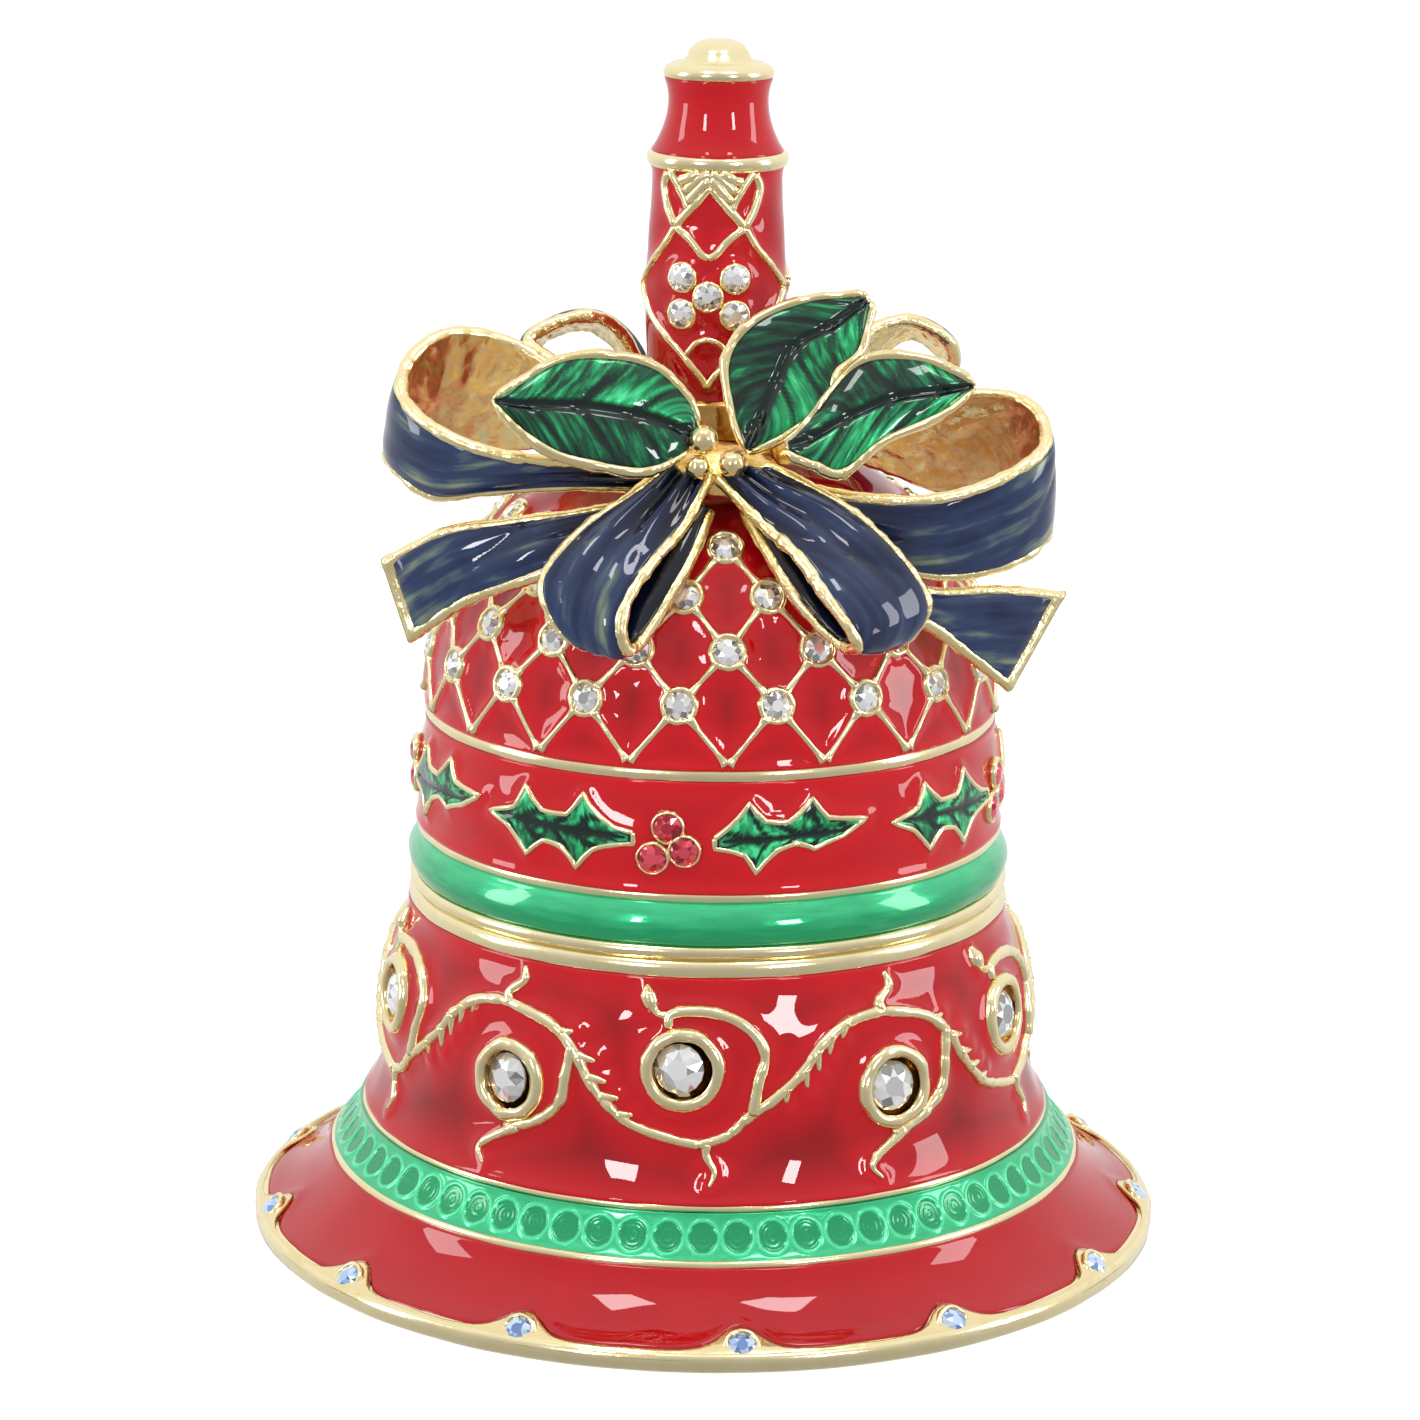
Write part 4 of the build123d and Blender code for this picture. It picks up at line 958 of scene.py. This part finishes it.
# ---- hinge and other plain parts ----
def finish_cad_parts():
    """Plain turned and machined parts are shown as they are in the frame, with their finishes."""
    plain = ("bottom_plate", "locating_collar", "hinge_base_leaf", "hinge_lid_leaf")
    finishes = dict.fromkeys(plain, GOLD) | {"hinge_pin": STEEL, "base_magnet": MAGNET, "lid_magnet": MAGNET}
    for node, material in finishes.items():
        mesh = frame["nodes"][node].data
        mesh.materials.clear()
        mesh.materials.append(material)


# ---- handle ----
# Wires on the shaft, for one side of a face; the other side mirrors them. Spots as (angle, height) from the
# middle of the face, then thickness and steps. The last three fill the corners under the ring.
SHAFT_WIRES = [
    ([(0.0, 65.3), (12.0, 64.3), (29.5, 62.9)], 0.26, 14),
    ([(29.5, 62.9), (16.0, 62.2), (6.0, 61.35), (0.0, 61.1)], 0.23, 14),
    ([(29.5, 62.9), (40.0, 61.7), (54.0, 60.6), (73.0, 59.1)], 0.21, 20),
    ([(73.0, 59.1), (58.0, 57.6), (38.0, 56.4), (24.0, 55.5), (6.0, 54.0), (0.0, 53.3)], 0.21, 28),
    ([(29.5, 62.9), (38.5, 64.0), (44.0, 65.2), (40.0, 66.0)], 0.25, 14),
    ([(18.0, 63.9), (24.0, 64.8), (33.0, 65.7), (38.0, 66.1)], 0.23, 14),
    ([(17.0, 55.3), (9.0, 56.0), (0.0, 56.25)], 0.17, 10),
    ([(0.0, 65.75), (9.0, 65.15), (18.0, 64.4)], 0.32, 10),
    ([(0.0, 66.1), (10.0, 65.7), (21.0, 65.0)], 0.32, 10),
    ([(9.0, 66.15), (19.0, 65.75), (27.0, 65.6)], 0.32, 10),
]
HANDLE_STONES = [(0, 58.8), (-21, 59.9), (21, 59.9), (-21, 57.7), (21, 57.7)]
HANDLE_FACES = (-6.0, 174.0)


def handle_metal():
    """Core of the handle, from the seat on the dome up to the cap, with the ring round it."""
    builder = Builder("handle_metal")
    outline = [(0.0, 48.6), (2.5, 48.6), (2.5, 49.87), (5.0, 49.87), (5.05, 50.4), (4.6, 51.2), (4.45, 52.1),
               (4.2, 52.45), (3.7, 52.5), (3.65, 66.1), (4.1, 66.15)]
    outline += bead(4.05, 66.6, 0.42, 0.0, 8) + [(3.75, 67.05), (2.7, 67.1), (2.65, 71.35), (0.0, 71.4)]
    # Painted shade under the bow: the seat and collar below the shaft are given a dark tone.
    tones = [0.8 if z < 52.6 else 0.0 for _, z in outline]
    lathe(builder, outline, 128, ripple=0.05, seed=5, closed=False, tones=tones)
    builder.make(GOLD, "lid", "handle_core")


def handle_cap():
    """Stepped gold button on top."""
    builder = Builder("cap_metal")
    outline = [(0.0, 71.3), (3.1, 71.35), (3.3, 71.5), (3.36, 71.75), (3.22, 72.05), (2.85, 72.25),
               (2.3, 72.35), (2.0, 72.55), (1.85, 72.95), (1.5, 73.35), (0.9, 73.6), (0.0, 73.68)]
    lathe(builder, outline, 96, ripple=0.09, seed=9, closed=False)
    builder.make(GOLD, "lid", "handle_cap")


def handle_enamel():
    """Shaft with its wires, stones and glass, and the plain neck above the ring."""
    wires, rings, stones = Builder("shaft_wires"), Builder("shaft_settings"), Builder("shaft_stones")
    rng = random.Random(SEED + 4)
    wire_points, ring_centres = [], []
    for face in HANDLE_FACES:
        for side in (-1, 1):
            for spots, size, steps in SHAFT_WIRES:
                placed = [(face + side * a, z) for a, z in spots]
                wire_points += wire(wires, shaft_radius, placed, size, steps, 0.06, 0.2, (1.15, 1.15),
                                    face + side)
        for angle, z in HANDLE_STONES:
            normal = polar(1, face + angle, 0)
            point = polar(4.42, face + angle, z)
            ring_centres.append(point)
            collet(rings, point, normal, HANDLE_SETTING, angle + z)
            crystal(stones, point + normal * 0.16, normal, HANDLE_SETTING.stone, rng)
    flowed_enamel("shaft_glass", SHAFT_ZONE, shaft_radius, "lid", "handle_shaft_enamel",
                  [(wire_points, 0.18), (ring_centres, 0.95)])
    flowed_enamel("neck_glass", NECK_ZONE, radius_along(NECK), "lid", "handle_neck_enamel")
    wires.make(GOLD, "lid", "handle_wires")
    rings.make(GOLD, "lid", "handle_settings")
    stones.make(CLEAR, "lid", "handle_crystals", smooth=False)


# ---- bow ----
# Each ribbon's two edges in millimetres, walked from the knot outwards; loops come back to the knot.
RIBBONS = {
    "loop_left": (
        [(-3.4, -11.2, 50.2), (-8.8, -12.6, 50.5), (-12.5, -12.8, 50.9), (-16.0, -11.8, 52.0),
         (-18.4, -9.2, 53.6), (-18.2, -6.6, 55.5), (-15.9, -4.6, 56.8), (-12.2, -3.6, 56.1),
         (-8.1, -4.8, 53.8), (-3.2, -8.4, 50.9)],
        [(-3.2, -11.0, 48.2), (-9.0, -11.8, 48.4), (-13.1, -11.4, 48.0), (-16.4, -10.2, 47.4),
         (-18.9, -8.2, 48.5), (-19.6, -5.4, 49.2), (-18.2, -2.8, 49.0), (-14.6, -1.8, 48.6),
         (-9.3, -3.6, 49.5), (-3.4, -8.0, 49.6)]),
    "loop_right": (
        [(3.2, -11.2, 47.8), (8.6, -12.2, 44.8), (12.8, -11.8, 43.4), (16.7, -10.4, 43.5),
         (19.6, -8.0, 44.5), (20.2, -5.2, 45.6), (18.5, -2.8, 46.0), (13.7, -2.2, 46.8),
         (8.2, -4.0, 49.0), (3.5, -8.0, 49.4)],
        [(3.2, -11.4, 49.4), (8.6, -12.4, 48.6), (13.3, -12.2, 48.6), (17.1, -10.8, 49.6),
         (19.7, -8.6, 51.1), (19.3, -6.2, 52.9), (17.0, -4.4, 53.5), (12.9, -3.8, 52.9),
         (8.1, -5.2, 52.0), (3.2, -8.4, 50.8)]),
    "loop_front_left": (
        [(-3.0, -12.4, 50.2), (-4.9, -13.6, 48.9), (-7.9, -15.2, 46.9), (-10.0, -16.6, 44.3),
         (-9.5, -17.4, 42.2), (-8.1, -17.6, 40.7), (-6.8, -16.8, 40.5), (-6.3, -15.7, 42.8),
         (-4.3, -14.0, 45.6), (-1.4, -12.0, 47.8)],
        [(0.1, -12.9, 49.7), (-1.4, -14.6, 47.0), (-3.1, -17.0, 45.5), (-4.6, -18.9, 43.6),
         (-5.0, -19.7, 41.9), (-4.5, -19.2, 40.5), (-3.5, -17.6, 41.0), (-2.1, -16.2, 43.1),
         (-0.9, -14.4, 45.0), (0.1, -12.2, 47.2)]),
    "loop_front_right": (
        [(-0.1, -12.9, 49.6), (2.6, -14.6, 47.2), (4.8, -17.0, 45.8), (6.3, -18.9, 44.1),
         (7.8, -19.9, 42.3), (8.3, -19.6, 41.0), (7.3, -18.0, 40.7), (5.6, -16.8, 41.9),
         (3.9, -15.4, 43.9), (1.6, -12.2, 47.2)],
        [(3.4, -12.4, 50.4), (5.4, -12.9, 49.6), (8.6, -14.2, 47.9), (11.3, -15.0, 45.4),
         (12.8, -15.4, 42.9), (11.9, -15.8, 41.0), (10.1, -15.6, 40.2), (9.6, -14.9, 42.6),
         (6.8, -13.8, 45.3), (3.0, -11.8, 47.9)]),
    "loop_back_left": (
        [(-3.0, -8.2, 51.4), (-8.0, -3.0, 53.4), (-11.4, 0.0, 55.2), (-9.5, 0.8, 56.6),
         (-7.1, 1.2, 56.8), (-5.4, 2.2, 55.4), (-3.7, 2.4, 52.0)],
        [(-3.4, -6.9, 50.6), (-9.0, 0.6, 52.0), (-12.0, 4.0, 53.0), (-10.5, 5.2, 54.9),
         (-7.8, 6.0, 55.4), (-5.6, 6.2, 53.8), (-3.2, 4.2, 50.8)]),
    "loop_back_right": (
        [(2.8, -8.0, 51.8), (6.3, -3.0, 54.2), (9.0, 0.2, 56.2), (11.9, 1.2, 56.9), (14.6, 1.8, 55.2),
         (14.2, 3.6, 52.8), (9.4, 5.0, 51.9), (3.7, 2.4, 51.9)],
        [(3.2, -6.7, 51.2), (7.4, 0.0, 52.8), (10.2, 4.0, 54.4), (12.2, 5.6, 55.2), (14.4, 5.8, 53.6),
         (13.8, 7.0, 51.4), (9.2, 7.8, 50.3), (3.2, 4.2, 50.7)]),
    "tail_left": (
        [(-2.6, -10.8, 48.4), (-7.3, -11.2, 47.4), (-12.0, -10.9, 46.6), (-15.9, -10.4, 45.8),
         (-19.6, -9.6, 43.7)],
        [(-2.2, -11.6, 47.3), (-6.0, -13.1, 45.2), (-10.4, -13.0, 43.3), (-14.4, -11.8, 41.5),
         (-17.9, -10.4, 38.8)]),
    "tail_right": (
        [(3.0, -13.5, 46.1), (8.0, -14.2, 43.0), (12.5, -13.1, 40.9), (15.1, -12.0, 38.8),
         (17.8, -10.6, 36.4)],
        [(3.2, -12.1, 47.3), (8.6, -12.7, 44.5), (12.9, -11.9, 43.0), (17.0, -10.2, 42.7),
         (21.1, -8.4, 42.0)]),
}

# Share of a ribbon's length that carries enamel outside; the front loops are enamelled inside as well.
ENAMEL_END = {"loop_front_left": 0.62, "loop_front_right": 0.62, "tail_left": 0.965, "tail_right": 0.965}
USUAL_ENAMEL_END = 0.93
RIBBON_EDGE = 0.42       # radius of the rounded gold edge
INNER_FACE = -0.52       # of the gold band, below the middle of its edges
KNOT_SHADE_REACH = 6.0         # how far from the knot painted shade darkens the band, most on its inner face
PLEAT_REACH = 5.0
PLEATS = 2.2             # across a ribbon at the knot
GLASS_STEPS = 30         # across a ribbon
LOOP_STATIONS = 130      # along a loop, a tail and a leaf
TAIL_STATIONS = 80
LEAF_STATIONS = 60
LEAF_ACROSS = 32

# Each leaf's two edges in millimetres, from its stalk to its tip.
LEAVES = {
    "left": ([(-1.4, -12.0, 52.1), (-1.5, -11.6, 53.7), (-3.5, -11.4, 55.7), (-6.3, -11.7, 56.4),
      (-9.0, -12.2, 56.2), (-11.3, -13.0, 55.0), (-12.9, -13.6, 54.1)],
     [(-1.7, -12.6, 51.5), (-2.5, -13.4, 50.5), (-4.3, -14.0, 50.0), (-6.7, -14.4, 50.4),
      (-9.2, -14.6, 51.1), (-11.3, -14.2, 52.4), (-12.9, -13.7, 53.9)]),
    "upper": ([(2.1, -11.3, 50.6), (4.6, -11.0, 51.9), (6.7, -10.4, 53.4), (7.2, -9.4, 55.1),
      (8.5, -8.4, 56.2), (9.2, -6.9, 58.9)],
     [(1.8, -11.2, 50.8), (1.0, -10.2, 53.1), (0.7, -8.8, 55.7), (2.2, -8.0, 57.8), (5.3, -7.4, 59.1),
      (8.8, -6.8, 59.4)]),
    "lower": ([(4.4, -13.3, 50.8), (6.1, -13.6, 50.3), (7.6, -13.7, 50.0), (10.0, -12.8, 51.8),
      (13.2, -11.4, 53.1), (15.2, -10.4, 54.5)],
     [(4.3, -12.4, 51.2), (6.0, -11.4, 53.2), (8.5, -10.3, 55.9), (11.6, -10.1, 56.2), (13.6, -10.2, 55.6),
      (15.2, -10.3, 54.8)]),
}
# Berries as (x, y, z, radius).
BOW_BERRIES = [(-0.6, -13.3, 51.9, 0.85), (-0.9, -13.5, 50.3, 0.72), (1.1, -13.3, 50.5, 0.8)]
KNOT = (0, -9.9, 49.2)
KNOT_SIZE = (3.9, 2.3, 1.9)


class Rails:
    """Frames along a band between two edges: low edge, step across, way out, length so far."""

    def __init__(self, upper, lower, count):
        self.high, self.low = spline(upper, count), spline(lower, count)
        along = np.gradient(self.high, axis=0) + np.gradient(self.low, axis=0)
        across = self.high - self.low
        self.width = np.linalg.norm(across, axis=1)
        self.across = across / self.width[:, None]
        out = np.cross(self.across, along)
        self.out = out / np.linalg.norm(out, axis=1)[:, None]
        middle = (self.high + self.low) / 2
        steps = np.linalg.norm(np.diff(middle, axis=0), axis=1)
        self.length = np.concatenate([[0], np.cumsum(steps)])
        self.count = count

    def from_knot(self, i, loop):
        """Distance along the band to the knot; a loop has the knot at both ends."""
        return min(self.length[i], self.length[-1] - self.length[i]) if loop else self.length[i]

    def at(self, i, s, h):
        """Point at station i, s millimetres across from the low edge and h outwards."""
        return self.low[i] + self.across[i] * s + self.out[i] * h


def arc(s, h, radius, start, stop, steps):
    """Points of an arc in a band's section, in degrees from the way across it."""
    angles = np.radians(np.linspace(start, stop, steps))
    return [(s + radius * math.cos(a), h + radius * math.sin(a)) for a in angles]


def ribbon_metal(name, rails, loop):
    """Cast gold band with wavy rounded edges and a rough inner face."""
    rows, tones = [], []
    for i in range(rails.count):
        w = rails.width[i]
        size = min(RIBBON_EDGE, w * 0.22)
        low, high = (size * (1 + 0.22 * wobble(edge[i], 1.1, seed) + 0.12 * wobble(edge[i], 3.0, seed + 2))
                     for edge, seed in ((rails.low, 2), (rails.high, 3)))
        floor = 0.14 if not loop and i > rails.count - 4 else -0.12
        section = arc(size * 0.8, -0.2, low, 265, 80, 8)
        section += [(s, floor) for s in np.linspace(2 * size, w - 2 * size, 4)]
        section += arc(w - size * 0.8, -0.2, high, 100, -85, 8)
        # Painted shade: the band darkens towards the knot, its inner face most, and more in the dents of its
        # crumple.
        deep = max(0.0, 1 - rails.from_knot(i, loop) / KNOT_SHADE_REACH)
        row = [rails.at(i, s, h) for s, h in section]
        tones += [0.1 + 0.25 * deep] * len(section)
        for s in np.linspace(w - 1.6 * size, 1.6 * size, 20):
            spot = rails.at(i, s, INNER_FACE)
            crumple = 0.22 * wobble(spot, 0.9, 7) + 0.14 * wobble(spot, 2.4, 8)
            row.append(rails.at(i, s, INNER_FACE + crumple))
            tones.append(min(1.0, 0.02 + 0.75 * deep - 0.4 * crumple))
        rows.append(row)
    builder = Builder(name + "_metal")
    builder.grid(rows, tones=tones, wrap_v=True, caps=True)
    builder.make(ROUGH_GOLD, "lid", "bow_" + name)


def glass_face(builder, rails, loop, stations, outside, seed):
    """One sheet of navy glass on a ribbon, gathered into pleats towards the knot, with painted shade in their
    valleys, near the knot and on the inside face.
    """
    begin, end = stations[0], stations[-1]
    rows, tones, grains = [], [], []
    for i in stations:
        w = rails.width[i]
        edge = min(RIBBON_EDGE, w * 0.24)
        far = rails.from_knot(i, loop)
        gather = math.exp(-far / PLEAT_REACH)
        close = min(1.0, 0.3 + (i - begin) / 4, 0.3 + (end - i) / 4)
        row = []
        for v in np.linspace(0, 1, GLASS_STEPS):
            s = edge + (w - 2 * edge) * v
            crown = 1 - (2 * v - 1) ** 4
            drift = seed + 0.3 * far + 0.8 * wobble((far, v * 3, seed), 0.35)
            fold = math.sin(2 * math.pi * PLEATS * v + drift)
            if outside:
                crease = abs(math.sin(0.36 * far + 2.6 * v + 1.7 * seed)) ** 0.4 - 0.8
                h = -0.02 + (0.20 + 0.22 * crown) * close + 0.36 * gather * fold * crown
                h += (0.16 * wobble(rails.at(i, s, 0), 0.33, seed) + 0.22 * crease) * crown
            else:
                h = -0.62 - 0.2 * crown
            row.append(rails.at(i, s, h))
            # Painted shade: the tone darkens the glass near the knot, in the pleats' valleys and on the
            # inside face.
            pleat_shade = max(0.0, -fold) * gather
            tones.append(min(1.0, 0.5 * gather + 0.7 * pleat_shade + (0.0 if outside else 0.45)))
            grains.append((rails.length[i], s, seed * 3.0))
        back = -0.15 if outside else -0.5
        row += [rails.at(i, w - edge, back), rails.at(i, edge, back)]
        tones += [1.0, 1.0]
        grains += [(0, 0, 0)] * 2
        rows.append(row)
    builder.grid(rows, tones=tones, grains=grains, wrap_v=True, caps=True)


def ribbons():
    """Every loop and tail: its gold band and the navy glass on it."""
    for seed, (name, (upper, lower)) in enumerate(RIBBONS.items()):
        loop = name.startswith("loop")
        rails = Rails(upper, lower, LOOP_STATIONS if loop else TAIL_STATIONS)
        ribbon_metal(name, rails, loop)
        glass = Builder(name + "_glass")
        last = int(ENAMEL_END.get(name, USUAL_ENAMEL_END) * (rails.count - 1))
        glass_face(glass, rails, loop, range(last + 1), True, seed)
        if name.startswith("loop_front"):
            glass_face(glass, rails, loop, range(rails.count), False, seed)
        glass.make(NAVY, "lid", "bow_" + name + "_enamel")


def leaf_frame(side, rails, seed):
    """Gold back of a leaf, with a bold rounded edge."""
    rows = []
    for i in range(rails.count):
        w = rails.width[i]
        size = min(0.44, w * 0.45)
        size *= 1 + 0.3 * wobble(rails.low[i], 1.0, seed) + 0.12 * wobble(rails.low[i], 3.0, 2)
        inset = min(0.3, w * 0.3)
        section = arc(0.05, 0.32, size, 260, 80, 8)
        section += [(s, 0.42) for s in np.linspace(inset, w - inset, 3)]
        section += arc(w - 0.05, 0.32, size, 100, -80, 8)
        section += [(s, 0.05) for s in np.linspace(w * 0.8, w * 0.2, 4)]
        rows.append([rails.at(i, s, h) for s, h in section])
    builder = Builder("sprig_" + side)
    tones = [0.12] * (len(rows) * len(rows[0]))
    builder.grid(rows, tones=tones, wrap_v=True, caps=True)
    builder.make(GOLD, "lid", "bow_leaf_" + side)


def leaf_glass(glass, rails, seed):
    """Green face of a leaf, with a sunken dark midrib and side veins."""
    rows, tones, grains = [], [], []
    for i in range(1, rails.count - 1):
        w = rails.width[i]
        edge = min(0.22, w * 0.2)
        share = i / (rails.count - 1)
        row = []
        for v in [k / LEAF_ACROSS for k in range(LEAF_ACROSS + 1)]:
            off = abs(2 * v - 1)
            rib = math.exp(-(off * w / 2 / 0.28) ** 2)
            vein = abs((share * 5 + off * 0.9) % 1 - 0.5) * 2
            line = max(0.0, (vein - 0.72) / 0.28)
            h = 0.58 + 0.28 * (1 - off**3) - 0.26 * rib - 0.12 * line * (1 - off)
            row.append(rails.at(i, edge + (w - 2 * edge) * v, h))
            tones.append(min(1.0, 0.02 + 0.9 * rib + 0.4 * line * (1 - off * 0.6) + 0.12 * (v < 0.5)))
            grains.append((rails.length[i] + off * 2, v * w, seed))
        row += [rails.at(i, w - 0.2, 0.35), rails.at(i, 0.2, 0.35)]
        tones += [1.0, 1.0]
        grains += [(0, 0, 0)] * 2
        rows.append(row)
    glass.grid(rows, tones=tones, grains=grains, wrap_v=True, caps=True)


def sprig():
    """The three leaves over the knot."""
    glass = Builder("sprig_glass")
    for seed, (side, edges) in enumerate(LEAVES.items()):
        rails = Rails(*edges, LEAF_STATIONS)
        leaf_frame(side, rails, seed)
        leaf_glass(glass, rails, seed)
    glass.make(LEAF_GREEN, "lid", "bow_leaf_enamel")


def ball(builder, centre, sizes, rough, seed, tone=0.15, rings=20, segments=32):
    """Uneven ball or ellipsoid with its own half-axes."""
    rows = []
    for i in range(rings + 1):
        tilt = math.pi * i / rings
        row = []
        for a in [2 * math.pi * k / segments for k in range(segments)]:
            unit = Vector((math.sin(tilt) * math.cos(a), math.sin(tilt) * math.sin(a), math.cos(tilt)))
            grow = 1 + rough * wobble(unit, 2.5, seed)
            row.append(Vector(centre) + Vector([u * s * grow for u, s in zip(unit, sizes)]))
        rows.append(row)
    builder.grid(rows, tones=[tone] * (len(rows) * segments), wrap_v=True)


def knot_and_berries():
    """Rough gold knot, and the three small berries on it."""
    knot = Builder("knot_metal")
    ball(knot, KNOT, KNOT_SIZE, 0.12, 1, tone=0.45, rings=30, segments=48)
    knot.make(ROUGH_GOLD, "lid", "bow_knot")
    berries = Builder("sprig_berries")
    for seed, (*centre, r) in enumerate(BOW_BERRIES, 3):
        ball(berries, centre, (r, r, r), 0.06, seed)
    berries.make(GOLD, "lid", "bow_berries")


# ---- stage ----
CAMERA_PLACE = (0.0, -0.280, 0.103876)
CAMERA_TILT = 75.663
CAMERA_ROLL = 0.79
LENS = 118.46
BELL_MIDDLE = (0, 0, 0.035)
# Brightness of the room, from low in front to high behind.
ROOM_LEVELS = [(0.0, 0.40), (0.2, 0.47), (0.5, 0.68), (0.72, 0.90), (1.0, 1.0)]
SWEEP_GREY = 0.6
SWEEP_GLOW = 0.62


def camera():
    """Camera a little above the bell, looking down on it from in front."""
    data = bpy.data.cameras.new("camera")
    data.lens = LENS
    data.sensor_width = 36
    data.clip_start = 0.01
    obj = bpy.data.objects.new("camera", data)
    tilt = Matrix.Rotation(math.radians(CAMERA_TILT), 4, "X")
    roll = Matrix.Rotation(math.radians(CAMERA_ROLL), 4, "Z")
    obj.matrix_world = Matrix.Translation(CAMERA_PLACE) @ (tilt @ roll)
    bpy.context.collection.objects.link(obj)
    bpy.context.scene.camera = obj


def softbox(name, place, size, power):
    """Rectangular light that faces the middle of the bell."""
    data = bpy.data.lights.new(name, "AREA")
    data.shape = "RECTANGLE"
    data.size, data.size_y = size
    data.energy = power
    obj = bpy.data.objects.new(name, data)
    obj.location = place
    obj.rotation_euler = (Vector(BELL_MIDDLE) - Vector(place)).to_track_quat("-Z", "Y").to_euler()
    bpy.context.collection.objects.link(obj)


def lights():
    """Two windows in front, a large one at each side and two above, in metres and watts."""
    softbox("key_left", (-0.22, -0.42, 0.20), (0.05, 0.13), 0.40)
    softbox("key_right", (0.24, -0.40, 0.19), (0.045, 0.12), 0.33)
    for name, x in (("left", -1), ("right", 1)):
        softbox("side_" + name, (0.45 * x, -0.06, 0.16), (0.10, 0.28), 0.48)
    for name, x in (("left", -1), ("right", 1)):
        softbox("top_" + name, (0.13 * x, -0.16, 0.5), (0.10, 0.10), 0.32)


def world():
    """Pale room: bright above and behind, dimmer low down at the front, so that metal shows its form."""
    room = bpy.data.worlds.new("room")
    bpy.context.scene.world = room
    room.use_nodes = True
    tree = room.node_tree
    place = tree.nodes.new("ShaderNodeTexCoord")
    lean = tree.nodes.new("ShaderNodeVectorMath")
    lean.operation = "DOT_PRODUCT"
    lean.inputs[1].default_value = (0.0, 0.35, 0.35)
    lift = tree.nodes.new("ShaderNodeMath")
    lift.operation = "ADD"
    lift.inputs[1].default_value = 0.5
    ramp = tree.nodes.new("ShaderNodeValToRGB")
    while len(ramp.color_ramp.elements) < len(ROOM_LEVELS):
        ramp.color_ramp.elements.new(0.5)
    for element, (position, level) in zip(ramp.color_ramp.elements, ROOM_LEVELS):
        element.position = position
        element.color = (level, level, level, 1)
    tree.links.new(place.outputs["Generated"], lean.inputs[0])
    tree.links.new(lean.outputs["Value"], lift.inputs[0])
    tree.links.new(lift.outputs[0], ramp.inputs["Fac"])
    tree.links.new(ramp.outputs["Color"], tree.nodes["Background"].inputs["Color"])


def stage():
    """Pale sweep: a floor that curves up into a backdrop, lit evenly enough to read as white."""
    shader = Shader("sweep", Base_Color=(SWEEP_GREY,) * 3, Roughness=0.8)
    shader.bsdf.inputs["Emission Color"].default_value = (1, 1, 1, 1)
    shader.bsdf.inputs["Emission Strength"].default_value = SWEEP_GLOW
    bends = np.radians(np.arange(7.5, 91, 7.5))
    profile = [(-1.2, 0.0), (0.5, 0.0), *((0.5 + 0.4 * math.sin(a), 0.4 - 0.4 * math.cos(a)) for a in bends),
               (0.9, 1.4)]
    verts = [(x, y, z) for y, z in profile for x in (-1.5, 1.5)]
    faces = [(2 * i, 2 * i + 1, 2 * i + 3, 2 * i + 2) for i in range(len(profile) - 1)]
    mesh = bpy.data.meshes.new("sweep")
    mesh.from_pydata(verts, [], faces)
    mesh.polygons.foreach_set("use_smooth", [True] * len(faces))
    mesh.materials.append(shader.material)
    obj = bpy.data.objects.new("sweep", mesh)
    obj.visible_glossy = False
    bpy.context.collection.objects.link(obj)


# ---- everything ----
finish_cad_parts()
for build in (base_metal, foot_edge, skirt, foot_stones, guilloche, scroll_zone, lid_metal, lid_band,
              holly_band, dome, handle_metal, handle_cap, handle_enamel, ribbons, sprig, knot_and_berries,
              camera, lights, world, stage):
    build()
bpy.context.scene.view_settings.view_transform = "Standard"
